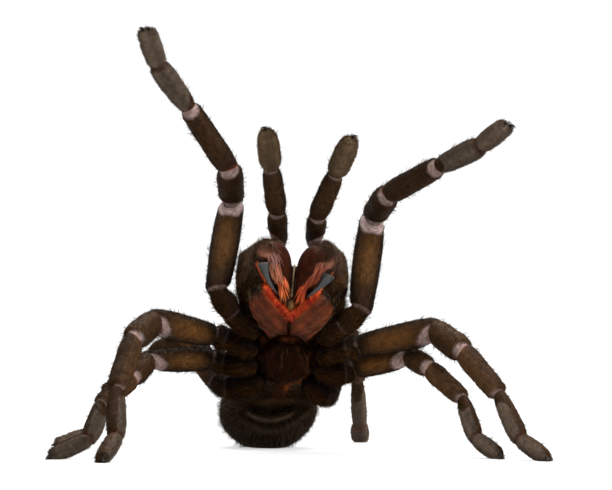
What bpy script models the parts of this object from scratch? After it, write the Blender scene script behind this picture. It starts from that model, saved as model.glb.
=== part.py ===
"""Thailand black tarantula standing in its raised threat pose, as one solid per sclerite.

Lengths are in millimetres and are scaled to metres when a mesh is made.
The camera side of the animal faces -Y, +Z is up and the floor is Z = 0.
"""

import math

import bmesh
import bpy
from mathutils import Matrix, Vector

for old in list(bpy.data.objects):
    bpy.data.objects.remove(old, do_unlink=True)

MM = 0.001
GAP = 0.3
SIDES = 12

# Body frame: where the middle of the sternum is and how far the front body is raised
STERNUM_CENTRE = Vector((-3.1, -18.0, 14.2))
BODY_PITCH = 52.0
BODY_ROLL = 5.0

# Front body, in the body frame: x to the animal's left, y to its front, z to its back
COXA_HALF_HEIGHT = 1.9
CARAPACE_FLOOR = 3.5
STERNUM_TOP = 3.2
EYE_LEVEL = 10.25
EYE_ROW_Y = 9.6

# Abdomen, in the world frame
ABDOMEN_FRONT = Vector((-4.3, -8.5, 8.6))
ABDOMEN_LENGTH = 22.6
ABDOMEN_HALF_WIDTH = 7.8
ABDOMEN_HALF_HEIGHT = 6.7
ABDOMEN_REAR_LEVEL = 5.0

# Oral fringe: locks along the inner front edge of each maxilla
FRINGE_LOCKS = 10
FRINGE_START = (0.55, 8.75)
FRINGE_END = (4.15, 13.25)
FRINGE_RADIUS = 0.30

# Height of the middle of a standing foot's tip above the floor
TIP_LEVEL = 0.5

# Thickness of each leg pair: half widths of femur (base, middle, end), then of the rest
LEG_WIDTH = {
    1: {"femur": (2.05, 2.3, 2.15), "patella": 2.1, "tibia": 1.85, "metatarsus": 1.75, "tarsus": 1.65},
    2: {"femur": (1.9, 2.15, 2.2), "patella": 2.15, "tibia": 1.8, "metatarsus": 1.55, "tarsus": 1.55},
    3: {"femur": (1.8, 1.95, 1.75), "patella": 1.75, "tibia": 1.6, "metatarsus": 1.4, "tarsus": 1.45},
    4: {"femur": (1.8, 2.0, 1.95), "patella": 1.8, "tibia": 1.65, "metatarsus": 1.25, "tarsus": 1.45},
}

# Each leg: inner end of the coxa, coxa to trochanter joint and trochanter to femur joint
# in the body frame, then azimuth, elevation and length of femur, patella, tibia,
# metatarsus and tarsus in the world frame
LEGS = {
    "1_right": {
        "hip": ((-4.55, 4.75, 1.1), (-8.9, 7.8, 1.1), (-11.6, 11.1, 2.5)),
        "path": ((166, 57, 16.3), (-2, 33, 9.2), (-43, 46, 12.8), (-39, 41, 9.6), (-20, 47, 7.0)),
    },
    "1_left": {
        "hip": ((4.55, 4.75, 1.1), (8.1, 7.1, 1.1), (10.8, 9.6, 2.5)),
        "path": ((165, 62, 16.3), (15, 22, 9.2), (39, 19, 12.8), (42, 18, 9.6), (40, 27, 6.6)),
    },
    "2_right": {
        "hip": ((-4.5, 1.5, 1.1), (-9.4, 2.6, 1.1), (-11.5, 2.4, 2.0)),
        "path": ((-40, 9, 14.3), (-20, -17, 8.4), (-19, -46, 10.3), (1, -53, 8.8), (-18, -31, 6.8)),
    },
    "2_left": {
        "hip": ((4.5, 1.5, 1.1), (8.9, 2.6, 1.1), (10.9, 2.8, 2.0)),
        "path": ((57, 10, 14.3), (31, -21, 8.4), (40, -38, 10.3), (33, -50, 8.8), (36, -26, 6.8)),
    },
    "3_right": {
        "hip": ((-4.5, -1.3, 1.1), (-9.3, -2.2, 1.1), (-11.3, -2.4, 2.0)),
        "path": ((-56, 0, 12.0), (-19, -21, 7.0), (-43, -29, 8.0), (-13, -37, 8.6), (-67, -29, 6.6)),
    },
    "3_left": {
        "hip": ((4.5, -1.3, 1.1), (8.7, -2.2, 1.1), (10.2, -2.6, 3.0)),
        "path": ((60, 11, 10.5), (24, -13, 7.2), (51, -35, 8.0), (18, -44, 8.6), (34, -28, 6.6)),
    },
    "4_right": {
        "hip": ((-3.3, -4.4, 1.1), (-8.4, -7.2, 1.3), (-10.6, -8.0, 3.2)),
        "path": ((-155, 33, 13.3), (-124, -25, 7.6), (-113, -37, 10.6), (-11, -36, 10.4), (-62, -12, 6.8)),
    },
    "4_left": {
        "hip": ((3.3, -4.4, 1.1), (6.1, -7.1, 1.3), (7.3, -8.3, 3.3)),
        "path": ((165, 56, 13.3), (168, -25, 7.6), (172, -35, 10.6), (176, -47, 10.4), (179, -20, 6.8)),
    },
}

# Each palp: start of the trochanter and trochanter to femur joint in the body frame,
# then azimuth, elevation and length of femur, patella, tibia and tarsus. bow is how far
# the middle of the femur swings out round the jaw
PALPS = {
    "right": {
        "hip": ((-6.6, 10.7, 2.8), (-7.5, 10.1, 4.6)),
        "path": ((140, 42, 11.0), (-1, 38, 7.2), (-10, 53, 8.4), (-7, 49, 7.6)),
        "bow": -1.9,
    },
    "left": {
        "hip": ((6.6, 11.4, 2.8), (7.3, 12.0, 4.6)),
        "path": ((-154, 39, 11.3), (3, 33, 7.0), (31, 50, 8.4), (28, 47, 7.6)),
        "bow": 1.2,
    },
}
PALP_WIDTH = {"femur": 1.85, "patella": 1.6, "tibia": 1.65, "tarsus": 1.85}

# Linear colours taken from the photo
COLOURS = {
    "body": (0.020, 0.013, 0.010),
    "abdomen": (0.017, 0.012, 0.011),
    "coxa": (0.024, 0.014, 0.010),
    "femur": (0.045, 0.024, 0.013),
    "shin": (0.030, 0.018, 0.013),
    "foot": (0.060, 0.043, 0.032),
    "maxilla": (0.110, 0.032, 0.022),
    "chelicera": (0.060, 0.018, 0.014),
    "fang": (0.055, 0.065, 0.080),
    "eye": (0.012, 0.010, 0.010),
    "membrane": (0.150, 0.090, 0.075),
}

pitch = math.radians(BODY_PITCH)
roll = Matrix.Rotation(math.radians(BODY_ROLL), 3, "Y")
LATERAL = roll @ Vector((1, 0, 0))
FORWARD = roll @ Vector((0, -math.cos(pitch), math.sin(pitch)))
DORSAL = roll @ Vector((0, math.sin(pitch), math.cos(pitch)))


def body_point(x, y, z):
    """A point of the front body's own frame, in the world frame."""
    return STERNUM_CENTRE + LATERAL * x + FORWARD * y + DORSAL * z


def heading(azimuth, elevation):
    """Unit vector: azimuth 0 is toward the camera side, 90 toward +X, elevation is up."""
    a = math.radians(azimuth)
    e = math.radians(elevation)
    return Vector((math.sin(a) * math.cos(e), -math.cos(a) * math.cos(e), math.sin(e)))


def smooth(t):
    """Ease from 0 to 1."""
    t = min(max(t, 0.0), 1.0)
    return t * t * (3 - 2 * t)


def material(name, colour, roughness):
    """Principled material of one sub-part."""
    mat = bpy.data.materials.new(name)
    mat.use_nodes = True
    shader = mat.node_tree.nodes["Principled BSDF"]
    shader.inputs["Base Color"].default_value = (*colour, 1.0)
    shader.inputs["Roughness"].default_value = roughness
    shader.inputs["Metallic"].default_value = 0.0
    mat.diffuse_color = (*colour, 1.0)
    return mat


def add_solid(name, verts, faces, kind, roughness=0.7):
    """Make a sub-part's object from vertices in millimetres and closed faces."""
    mesh = bpy.data.meshes.new(name)
    mesh.from_pydata([tuple(v * MM) for v in verts], [], faces)
    bm = bmesh.new()
    bm.from_mesh(mesh)
    bmesh.ops.recalc_face_normals(bm, faces=bm.faces)
    for face in bm.faces:
        face.smooth = True
    bm.to_mesh(mesh)
    bm.free()
    mesh.materials.append(material(name, COLOURS[kind], roughness))
    obj = bpy.data.objects.new(name, mesh)
    bpy.context.collection.objects.link(obj)
    return obj


def loft(name, rings, kind, roughness=0.7):
    """Close a row of rings of equal count into one solid with flat ends."""
    count = len(rings[0])
    verts = [p for ring in rings for p in ring]
    faces = []
    for row in range(len(rings) - 1):
        for i in range(count):
            j = (i + 1) % count
            a = row * count
            b = a + count
            faces.append((a + i, a + j, b + j, b + i))
    faces.append(tuple(reversed(range(count))))
    last = (len(rings) - 1) * count
    faces.append(tuple(range(last, last + count)))
    return add_solid(name, verts, faces, kind, roughness)


def stand_on_floor(obj):
    """Cut what is below the floor off and close the cut with one flat face."""
    bm = bmesh.new()
    bm.from_mesh(obj.data)
    geometry = bm.verts[:] + bm.edges[:] + bm.faces[:]
    cut = bmesh.ops.bisect_plane(
        bm,
        geom=geometry,
        dist=1e-6,
        plane_co=(0, 0, 0),
        plane_no=(0, 0, -1),
        clear_outer=True,
    )
    edges = [e for e in cut["geom_cut"] if isinstance(e, bmesh.types.BMEdge)]
    bmesh.ops.contextual_create(bm, geom=edges)
    for vert in bm.verts:
        if vert.co.z < 2e-5:
            vert.co.z = 0.0
    bmesh.ops.recalc_face_normals(bm, faces=bm.faces)
    bm.to_mesh(obj.data)
    bm.free()


class Limb:
    """A chain of joint points with a frame carried along it without twist."""

    def __init__(self, points, dorsal_segment, dorsal):
        self.points = points
        count = len(points) - 1
        self.along = [(points[i + 1] - points[i]).normalized() for i in range(count)]
        self.length = [(points[i + 1] - points[i]).length for i in range(count)]
        self.mitre = [self.along[0]]
        for i in range(1, count):
            self.mitre.append((self.along[i - 1] + self.along[i]).normalized())
        self.mitre.append(self.along[-1])
        self.back = [None] * count
        start = dorsal - self.along[dorsal_segment] * dorsal.dot(self.along[dorsal_segment])
        self.back[dorsal_segment] = start.normalized()
        for i in range(dorsal_segment + 1, count):
            turn = self.along[i - 1].rotation_difference(self.along[i])
            self.back[i] = turn @ self.back[i - 1]
        for i in range(dorsal_segment - 1, -1, -1):
            turn = self.along[i + 1].rotation_difference(self.along[i])
            self.back[i] = turn @ self.back[i + 1]

    def ring(self, segment, distance, width, height, lift=0.0):
        """Ring of the limb at a distance along a segment, leaning to the joint planes."""
        along = self.along[segment]
        up = self.back[segment]
        side = along.cross(up)
        length = self.length[segment]
        reach = min(1.7 * max(width, height), length - 2 * GAP)
        near = 1.0 - min(max(distance - GAP, 0.0) / reach, 1.0)
        far = 1.0 - min(max(length - distance - GAP, 0.0) / reach, 1.0)
        normal = along + (self.mitre[segment] - along) * near + (self.mitre[segment + 1] - along) * far
        centre = self.points[segment] + along * distance + up * lift
        out = []
        for i in range(SIDES):
            angle = 2 * math.pi * (i + 0.5) / SIDES
            arm = side * (width * math.cos(angle)) + up * (height * math.sin(angle))
            out.append(centre + arm - along * (arm.dot(normal) / along.dot(normal)))
        return out

    def gap_at(self, segment, joint):
        """Distance along a segment from a joint's plane to half the gap."""
        return 0.5 * GAP / self.along[segment].dot(self.mitre[joint])


def segment_rings(limb, segment, widths, flat, start, end):
    """Rings of one limb segment: joint collar, swelling, belly, swelling, joint collar.

    widths is (base, middle, end) half width, flat the ratio of height to width,
    start and end are the distances kept from the two joints.
    """
    length = limb.length[segment]
    base, middle, tail = widths
    table = (
        (start, 0.80 * base),
        (start + 0.13 * length, base),
        (0.50 * length, middle),
        (length - end - 0.13 * length, tail),
        (length - end, 0.82 * tail),
    )
    return [limb.ring(segment, distance, width, width * flat) for distance, width in table]


def joint_ring(limb, segment, width, flat):
    """The groove ring in the plane between two segments of one node."""
    return limb.ring(segment, limb.length[segment], width, width * flat)


def leg_chain(hip, path, standing):
    """Joint points of a leg from its coxa to the tip of its tarsus."""
    points = [body_point(*p) for p in hip]
    for index, (azimuth, elevation, length) in enumerate(path):
        if standing and index == len(path) - 1:
            drop = (TIP_LEVEL - points[-1].z) / length
            elevation = math.degrees(math.asin(drop))
        points.append(points[-1] + heading(azimuth, elevation) * length)
    return points


def bend_dorsal(points, knee):
    """The side on which a knee is convex."""
    before = (points[knee] - points[knee - 1]).normalized()
    after = (points[knee + 1] - points[knee]).normalized()
    return before - after


def build_leg(name, spec):
    """The four solids of one leg: coxa with trochanter, femur, shin and foot."""
    pair = int(name[0])
    width = LEG_WIDTH[pair]
    standing = pair != 1
    points = leg_chain(spec["hip"], spec["path"], standing)
    limb = Limb(points, 2, bend_dorsal(points, 3))
    coxa = Limb(points, 0, DORSAL)

    rings = [coxa.ring(0, 0.0, 0.85, COXA_HALF_HEIGHT - 0.5)]
    rings.append(coxa.ring(0, 0.5, 1.05, COXA_HALF_HEIGHT))
    rings.append(coxa.ring(0, coxa.length[0] - 1.0, 2.0, COXA_HALF_HEIGHT))
    rings.append(coxa.ring(0, coxa.length[0], 1.75, 1.75))
    rings.append(coxa.ring(1, 0.5 * coxa.length[1], 1.95, 1.9))
    rings.append(coxa.ring(1, coxa.length[1] - coxa.gap_at(1, 2), 1.6, 1.6))
    loft("leg_" + name + "_coxa", rings, "coxa")

    rings = segment_rings(limb, 2, width["femur"], 1.05, limb.gap_at(2, 2), limb.gap_at(2, 3))
    loft("leg_" + name + "_femur", rings, "femur")

    patella = width["patella"]
    tibia = width["tibia"]
    rings = segment_rings(limb, 3, (0.95 * patella, patella, patella), 1.0, limb.gap_at(3, 3), 0.5)
    rings.append(joint_ring(limb, 3, 0.78 * tibia, 1.0))
    rings += segment_rings(limb, 4, (tibia, tibia, 0.96 * tibia), 1.0, 0.5, limb.gap_at(4, 5))
    loft("leg_" + name + "_shin", rings, "shin")

    metatarsus = width["metatarsus"]
    tarsus = width["tarsus"]
    rings = segment_rings(limb, 5, (0.88 * metatarsus, metatarsus, metatarsus), 0.95, limb.gap_at(5, 5), 0.4)
    rings.append(joint_ring(limb, 5, 0.72 * tarsus, 0.9))
    length = limb.length[6]
    rings.append(limb.ring(6, 0.45, 0.85 * tarsus, 0.78 * tarsus))
    rings.append(limb.ring(6, 0.28 * length, tarsus, 0.85 * tarsus))
    rings.append(limb.ring(6, 0.72 * length, tarsus, 0.82 * tarsus))
    rings.append(limb.ring(6, 0.93 * length, 0.86 * tarsus, 0.64 * tarsus))
    rings.append(limb.ring(6, length, 0.52 * tarsus, 0.36 * tarsus))
    foot = loft("leg_" + name + "_foot", rings, "foot")
    if standing:
        stand_on_floor(foot)


def build_palp(side, spec):
    """The three free solids of one palp: femur with trochanter, shin and tarsus."""
    points = leg_chain(spec["hip"], spec["path"], False)
    middle = points[1].lerp(points[2], 0.5) + LATERAL * spec["bow"] + DORSAL * 0.9
    points.insert(2, middle)
    limb = Limb(points, 1, bend_dorsal(points, 3))
    femur = PALP_WIDTH["femur"]
    rings = [limb.ring(0, 0.0, 1.3, 1.3)]
    rings.append(limb.ring(0, 0.5 * limb.length[0], 1.45, 1.45))
    rings.append(limb.ring(0, limb.length[0], 1.3, 1.35))
    rings.append(limb.ring(1, 0.3 * limb.length[1], 0.86 * femur, 0.90 * femur))
    rings.append(limb.ring(1, limb.length[1], femur, femur))
    rings.append(limb.ring(2, 0.72 * limb.length[2], 0.91 * femur, 0.89 * femur))
    rings.append(limb.ring(2, limb.length[2] - limb.gap_at(2, 3), 0.72 * femur, 0.70 * femur))
    loft("palp_" + side + "_femur", rings, "femur")

    patella = PALP_WIDTH["patella"]
    tibia = PALP_WIDTH["tibia"]
    rings = segment_rings(limb, 3, (0.95 * patella, patella, patella), 1.0, limb.gap_at(3, 3), 0.5)
    rings.append(joint_ring(limb, 3, 0.78 * tibia, 1.0))
    rings += segment_rings(limb, 4, (tibia, tibia, 0.95 * tibia), 1.0, 0.5, limb.gap_at(4, 5))
    loft("palp_" + side + "_shin", rings, "shin")

    club = PALP_WIDTH["tarsus"]
    length = limb.length[5]
    rings = [limb.ring(5, limb.gap_at(5, 5), 0.68 * club, 0.68 * club)]
    rings.append(limb.ring(5, 0.16 * length, 0.92 * club, 0.90 * club))
    rings.append(limb.ring(5, 0.45 * length, club, 0.95 * club))
    rings.append(limb.ring(5, 0.75 * length, 0.95 * club, 0.88 * club))
    rings.append(limb.ring(5, 0.93 * length, 0.70 * club, 0.62 * club))
    rings.append(limb.ring(5, length, 0.30 * club, 0.26 * club))
    loft("palp_" + side + "_tarsus", rings, "foot")


def plan_rings(outline, centre, levels):
    """Rings of one outline in the body frame, each level given as (z, scale)."""
    rings = []
    for z, scale in levels:
        ring = []
        for x, y in outline:
            ring.append(body_point(centre[0] + (x - centre[0]) * scale, centre[1] + (y - centre[1]) * scale, z))
        rings.append(ring)
    return rings


def build_sternum():
    """Shield-shaped sternum, slightly domed on the ventral side, and the labium before it."""
    outline = []
    for i in range(16):
        angle = 2 * math.pi * i / 16
        across = math.cos(angle)
        ahead = math.sin(angle)
        if ahead > 0:
            across = math.copysign(abs(across) ** 0.8, across)
            ahead = ahead ** 0.85
        x = 3.7 * across * (1.0 - 0.08 * max(0.0, -ahead) ** 2)
        y = -0.5 + 4.05 * ahead
        outline.append((x, y))
    levels = ((STERNUM_TOP, 0.93), (STERNUM_TOP - 0.5, 1.0), (0.7, 1.0), (0.15, 0.92), (-0.15, 0.62))
    loft("sternum", plan_rings(outline, (0, -0.5), levels), "body")
    outline = ((-1.7, 3.85), (1.7, 3.85), (1.65, 4.45), (1.1, 4.95), (0.0, 5.15), (-1.1, 4.95), (-1.65, 4.45))
    levels = ((2.6, 0.9), (2.2, 1.0), (0.3, 1.0), (-0.15, 0.86), (-0.35, 0.5))
    loft("labium", plan_rings(outline, (0, 4.45), levels), "maxilla")


def build_maxilla(side):
    """Palp coxa: the oblique plate beside the mouth."""
    sign = -1 if side == "right" else 1
    outline = (
        (2.15, 4.65), (2.75, 4.6), (3.5, 5.4), (4.8, 7.1), (5.9, 8.9), (6.4, 10.4), (6.25, 11.9), (5.5, 13.1),
        (4.3, 13.7), (2.9, 12.1), (1.4, 10.3), (0.2, 8.9), (0.2, 5.6), (1.3, 5.45),
    )
    outline = [(sign * x, y) for x, y in outline]
    levels = ((2.3, 0.88), (1.8, 1.0), (0.2, 1.0), (-0.35, 0.93), (-0.65, 0.66))
    maxilla = loft("palp_" + side + "_coxa", plan_rings(outline, (sign * 3.4, 9.4), levels), "maxilla", 0.55)
    fuse(maxilla, [build_lock(side, i / (FRINGE_LOCKS - 1)) for i in range(FRINGE_LOCKS)])


def build_lock(side, t):
    """One tapered lock of the oral fringe, rooted in the maxilla at a fraction of its edge."""
    sign = -1 if side == "right" else 1
    x = FRINGE_START[0] + (FRINGE_END[0] - FRINGE_START[0]) * t
    y = FRINGE_START[1] + (FRINGE_END[1] - FRINGE_START[1]) * t
    lean = 0.10 + 0.32 * smooth(3.0 * t) - 0.12 * math.sin(5.0 * t)
    length = 1.35 + 0.45 * math.sin(math.pi * t)
    direction = Vector((-lean, 0.86, -0.24)).normalized()
    root = Vector((x + 0.25, y - 0.35, 0.05))
    rings = []
    for reach, radius in ((0.0, 1.0), (0.35 + 0.35 * length, 0.85), (0.35 + 0.75 * length, 0.55), (0.35 + length, 0.22)):
        middle = root + direction * reach - Vector((0, 0, 0.10 * reach * reach))
        ring = []
        for i in range(5):
            angle = 2 * math.pi * (i + 0.3) / 5
            across = FRINGE_RADIUS * radius * math.cos(angle)
            upright = 1.3 * FRINGE_RADIUS * radius * math.sin(angle)
            point = middle + Vector((0.90 * across, 0.43 * across, upright))
            ring.append(body_point(sign * point.x, point.y, point.z))
        rings.append(ring)
    return loft("fringe_lock", rings, "maxilla")


def carapace_half_width(y):
    """Half width of the carapace at a station along the body."""
    stations = ((-8.0, 3.6), (-7.2, 5.2), (-5.5, 7.2), (-2.5, 8.4), (0.5, 8.5), (3.5, 7.8), (6.0, 6.4),
                (8.5, 5.6), (11.0, 5.1), (12.0, 4.6))
    return interpolate(stations, y)


def carapace_height(y):
    """Height of the carapace's ridge above its lower plane at a station."""
    stations = ((-8.0, 0.7), (-6.5, 1.9), (-4.5, 2.9), (-3.2, 3.5), (-2.5, 3.0), (-1.8, 3.6), (1.0, 4.1),
                (4.0, 5.1), (7.0, 5.8), (9.5, 6.0), (11.3, 5.8), (12.0, 5.2))
    return interpolate(stations, y)


def interpolate(stations, t):
    """Straight interpolation in a row of (position, value) pairs."""
    if t <= stations[0][0]:
        return stations[0][1]
    for (t0, v0), (t1, v1) in zip(stations, stations[1:]):
        if t <= t1:
            return v0 + (v1 - v0) * (t - t0) / (t1 - t0)
    return stations[-1][1]


def fuse(target, others):
    """Join other solids into the target with one Boolean union and remove them."""
    for other in others:
        modifier = target.modifiers.new("fuse", "BOOLEAN")
        modifier.operation = "UNION"
        modifier.solver = "EXACT"
        modifier.object = other
        depsgraph = bpy.context.evaluated_depsgraph_get()
        mesh = bpy.data.meshes.new_from_object(target.evaluated_get(depsgraph))
        target.modifiers.clear()
        own = target.data.materials[0]
        target.data = mesh
        mesh.materials.clear()
        mesh.materials.append(own)
        mesh.polygons.foreach_set("material_index", [0] * len(mesh.polygons))
        bpy.data.objects.remove(other, do_unlink=True)


def build_carapace():
    """Domed shield over the front body with the eye mound and the pit in its middle."""
    rings = []
    for y in (-8.0, -7.2, -5.8, -4.2, -3.2, -2.5, -1.8, 0.5, 3.5, 6.0, 8.5, 10.8, 11.7, 12.0):
        half = carapace_half_width(y)
        top = carapace_height(y)
        pit = math.exp(-((y + 2.5) / 0.5) ** 2)
        ring = []
        floor = CARAPACE_FLOOR + 0.6 * smooth((-5.5 - y) / 2.0)
        for x in (-0.55, 0.55):
            ring.append(body_point(x * half, y, floor))
        for i in range(13):
            angle = math.pi * i / 12
            x = math.cos(angle)
            z = max(0.0, math.sin(angle)) ** 0.8
            if 5 <= i <= 7:
                z -= 0.10 * pit
            ring.append(body_point(x * half, y, floor + 0.5 + (top - 0.5) * z))
        rings.append(ring)
    carapace = loft("carapace", rings, "body", 0.6)
    rings = []
    for z, scale in ((8.2, 1.15), (9.5, 1.05), (EYE_LEVEL, 0.85)):
        ring = []
        for i in range(12):
            angle = 2 * math.pi * (i + 0.5) / 12
            ring.append(body_point(2.3 * scale * math.cos(angle), EYE_ROW_Y + 1.25 * scale * math.sin(angle), z))
        rings.append(ring)
    fuse(carapace, [loft("eye_mound", rings, "body")])


def build_eyes():
    """Eight small domes in two rows on the eye mound."""
    places = {
        "eye_front_middle": (0.48, 0.42, 0.36),
        "eye_front_side": (1.35, 0.40, 0.33),
        "eye_rear_middle": (0.75, -0.42, 0.22),
        "eye_rear_side": (1.40, -0.42, 0.28),
    }
    for name, (x, y, radius) in places.items():
        for side, sign in (("right", -1), ("left", 1)):
            rings = []
            for turn in (0.0, 28.0, 55.0, 78.0):
                angle = math.radians(turn)
                ring = []
                for i in range(8):
                    around = 2 * math.pi * i / 8
                    r = radius * math.cos(angle)
                    ring.append(body_point(
                        sign * x + r * math.cos(around),
                        EYE_ROW_Y + y + r * math.sin(around),
                        EYE_LEVEL + 0.08 + 0.9 * radius * math.sin(angle),
                    ))
                rings.append(ring)
            loft(name + "_" + side, rings, "eye", 0.1)


def build_chelicera(side):
    """Jaw base: a deep block bowed outward, with a flat inner side and a blunt end."""
    sign = -1 if side == "right" else 1
    # Station y, inner x, outer x, lower z and upper z
    stations = (
        (12.35, 0.35, 4.5, 2.8, 8.3),
        (12.9, 0.30, 5.2, 2.6, 8.9),
        (14.0, 0.35, 5.8, 1.6, 9.1),
        (15.6, 0.55, 6.2, 1.4, 8.7),
        (17.2, 1.05, 6.3, 1.7, 7.8),
        (18.5, 1.75, 6.1, 2.1, 6.6),
        (19.4, 2.45, 5.7, 2.3, 5.4),
        (19.9, 3.10, 5.1, 2.7, 4.4),
    )
    rings = []
    for y, inner, outer, low, high in stations:
        ring = []
        for i in range(14):
            angle = 2 * math.pi * (i + 0.5) / 14
            c = math.cos(angle)
            s = math.sin(angle)
            c = math.copysign(abs(c) ** 0.8, c)
            s = math.copysign(abs(s) ** 0.85, s)
            x = 0.5 * (inner + outer) + 0.5 * (outer - inner) * c
            z = 0.5 * (low + high) + 0.5 * (high - low) * s
            ring.append(body_point(sign * x, y, z))
        rings.append(ring)
    loft("chelicera_" + side, rings, "chelicera", 0.55)


def build_fang(side):
    """Curved fang half folded under its jaw, pointing to the mouth."""
    sign = -1 if side == "right" else 1
    # Middle line x, y, z and radius
    stations = (
        (5.0, 18.6, 0.95, 0.80),
        (4.95, 18.1, 0.50, 0.82),
        (4.65, 17.3, -0.05, 0.74),
        (4.1, 16.3, -0.50, 0.60),
        (3.35, 15.2, -0.75, 0.42),
        (2.4, 14.0, -0.75, 0.16),
    )
    middle = [body_point(sign * x, y, z) for x, y, z, radius in stations]
    rings = []
    for index, station in enumerate(stations):
        before = middle[max(index - 1, 0)]
        after = middle[min(index + 1, len(middle) - 1)]
        along = (after - before).normalized()
        side_axis = along.cross(DORSAL).normalized()
        up = side_axis.cross(along)
        ring = []
        for i in range(10):
            angle = 2 * math.pi * i / 10
            arm = side_axis * math.cos(angle) + up * math.sin(angle)
            ring.append(middle[index] + arm * station[3])
        rings.append(ring)
    loft("fang_" + side, rings, "fang", 0.25)


def abdomen_middle(t):
    """Middle line of the abdomen from the pedicel (0) to the rear (1)."""
    x = ABDOMEN_FRONT.x - 2.5 * smooth(1.4 * t)
    y = ABDOMEN_FRONT.y + ABDOMEN_LENGTH * t
    z = ABDOMEN_REAR_LEVEL + (ABDOMEN_FRONT.z - ABDOMEN_REAR_LEVEL) * max(1 - t, 0.0) ** 2.2
    return Vector((x, y, z))


def build_abdomen():
    """Egg-shaped abdomen, with the furrow across its underside, sitting flat on the floor."""
    stations = (
        (0.0, 0.16), (0.02, 0.34), (0.07, 0.58), (0.13, 0.74), (0.19, 0.84), (0.225, 0.86), (0.26, 0.91),
        (0.36, 0.98), (0.50, 1.0), (0.64, 0.94), (0.78, 0.80), (0.89, 0.61), (0.96, 0.41), (1.0, 0.20),
    )
    rings = []
    for t, scale in stations:
        centre = abdomen_middle(t)
        along = (abdomen_middle(t + 0.02) - abdomen_middle(t - 0.02)).normalized()
        side = along.cross(Vector((0, 0, 1))).normalized()
        up = side.cross(along)
        furrow = math.exp(-((t - 0.225) / 0.02) ** 2)
        ring = []
        for i in range(20):
            angle = 2 * math.pi * (i + 0.5) / 20
            s = math.sin(angle)
            reach = 1.0 - 0.05 * furrow * smooth(-2.0 * s - 0.3)
            arm = side * (ABDOMEN_HALF_WIDTH * math.cos(angle)) + up * (ABDOMEN_HALF_HEIGHT * s)
            ring.append(centre + arm * (scale * reach))
        rings.append(ring)
    abdomen = loft("abdomen", rings, "abdomen", 0.8)
    stand_on_floor(abdomen)


def build_spinneret(side):
    """One long rear spinneret of three short joints."""
    sign = -1 if side == "right" else 1
    start = abdomen_middle(1.0) + Vector((sign * 0.95, 0.55, 0.3))
    direction = Vector((sign * 0.28, 0.9, 0.12)).normalized()
    side_axis = direction.cross(Vector((0, 0, 1))).normalized()
    up = side_axis.cross(direction)
    rings = []
    for distance, radius in ((0.0, 0.62), (0.4, 0.78), (1.5, 0.74), (1.7, 0.62), (1.9, 0.68),
                             (3.0, 0.60), (3.2, 0.50), (3.4, 0.54), (4.5, 0.26)):
        ring = []
        for i in range(8):
            angle = 2 * math.pi * i / 8
            arm = side_axis * math.cos(angle) + up * math.sin(angle)
            ring.append(start + direction * distance + arm * radius)
        rings.append(ring)
    loft("spinneret_" + side, rings, "abdomen")


def build_pedicel():
    """Narrow waist between the sternum and the abdomen."""
    start = body_point(0, -5.2, 1.5)
    end = ABDOMEN_FRONT - Vector((0.0, 0.5, 0.0))
    along = end - start
    side = along.cross(Vector((0, 0, 1))).normalized()
    rings = []
    for t, radius in ((0.0, 0.75), (0.15, 0.95), (0.5, 0.85), (0.85, 0.9), (1.0, 0.75)):
        up = side.cross(along).normalized()
        ring = []
        for i in range(10):
            angle = 2 * math.pi * i / 10
            ring.append(start + along * t + (side * math.cos(angle) + up * math.sin(angle)) * radius)
        rings.append(ring)
    loft("pedicel", rings, "membrane")


def centre_over_origin():
    """Move every solid so that the middle of the bounding box's bottom is the origin."""
    corners = [v.co for obj in bpy.data.objects for v in obj.data.vertices]
    middle_x = 0.5 * (min(c.x for c in corners) + max(c.x for c in corners))
    middle_y = 0.5 * (min(c.y for c in corners) + max(c.y for c in corners))
    shift = Matrix.Translation((-middle_x, -middle_y, 0.0))
    for obj in bpy.data.objects:
        obj.data.transform(shift)
        obj.data.update()
    print("shift in mm", round(-middle_x / MM, 3), round(-middle_y / MM, 3))


build_sternum()
build_carapace()
build_eyes()
build_pedicel()
build_abdomen()
for part_side in ("right", "left"):
    build_spinneret(part_side)
    build_maxilla(part_side)
    build_chelicera(part_side)
    build_fang(part_side)
    build_palp(part_side, PALPS[part_side])
for leg_name, leg_spec in LEGS.items():
    build_leg(leg_name, leg_spec)
centre_over_origin()
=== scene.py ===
"""Looks of a Thailand black tarantula in its raised threat pose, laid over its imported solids.

Lengths in the tables are millimetres. The front body's tables are in its own frame: x to the
animal's left, y to its front and z to its back. CENTRE_SHIFT moves all of it over the origin.
"""

import math
from types import SimpleNamespace

import bpy
import numpy as np
from bpy.props import (
    FloatProperty,
    FloatVectorProperty,
    IntProperty,
    PointerProperty,
)
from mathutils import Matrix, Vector


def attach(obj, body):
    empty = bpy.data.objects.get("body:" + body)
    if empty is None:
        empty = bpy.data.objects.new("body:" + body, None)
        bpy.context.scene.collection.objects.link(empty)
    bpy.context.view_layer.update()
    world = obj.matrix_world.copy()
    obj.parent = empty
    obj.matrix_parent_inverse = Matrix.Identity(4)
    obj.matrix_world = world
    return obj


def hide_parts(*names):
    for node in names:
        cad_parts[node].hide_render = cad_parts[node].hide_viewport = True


bl_info = {
    "name": "Thailand black tarantula",
    "version": (1, 0, 0),
    "blender": (4, 5, 0),
    "location": "View3D > Sidebar > Tarantula",
    "description": "Skin, hair, jaws, eyes and stage of a tarantula in its threat pose",
    "category": "Object",
}

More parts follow.
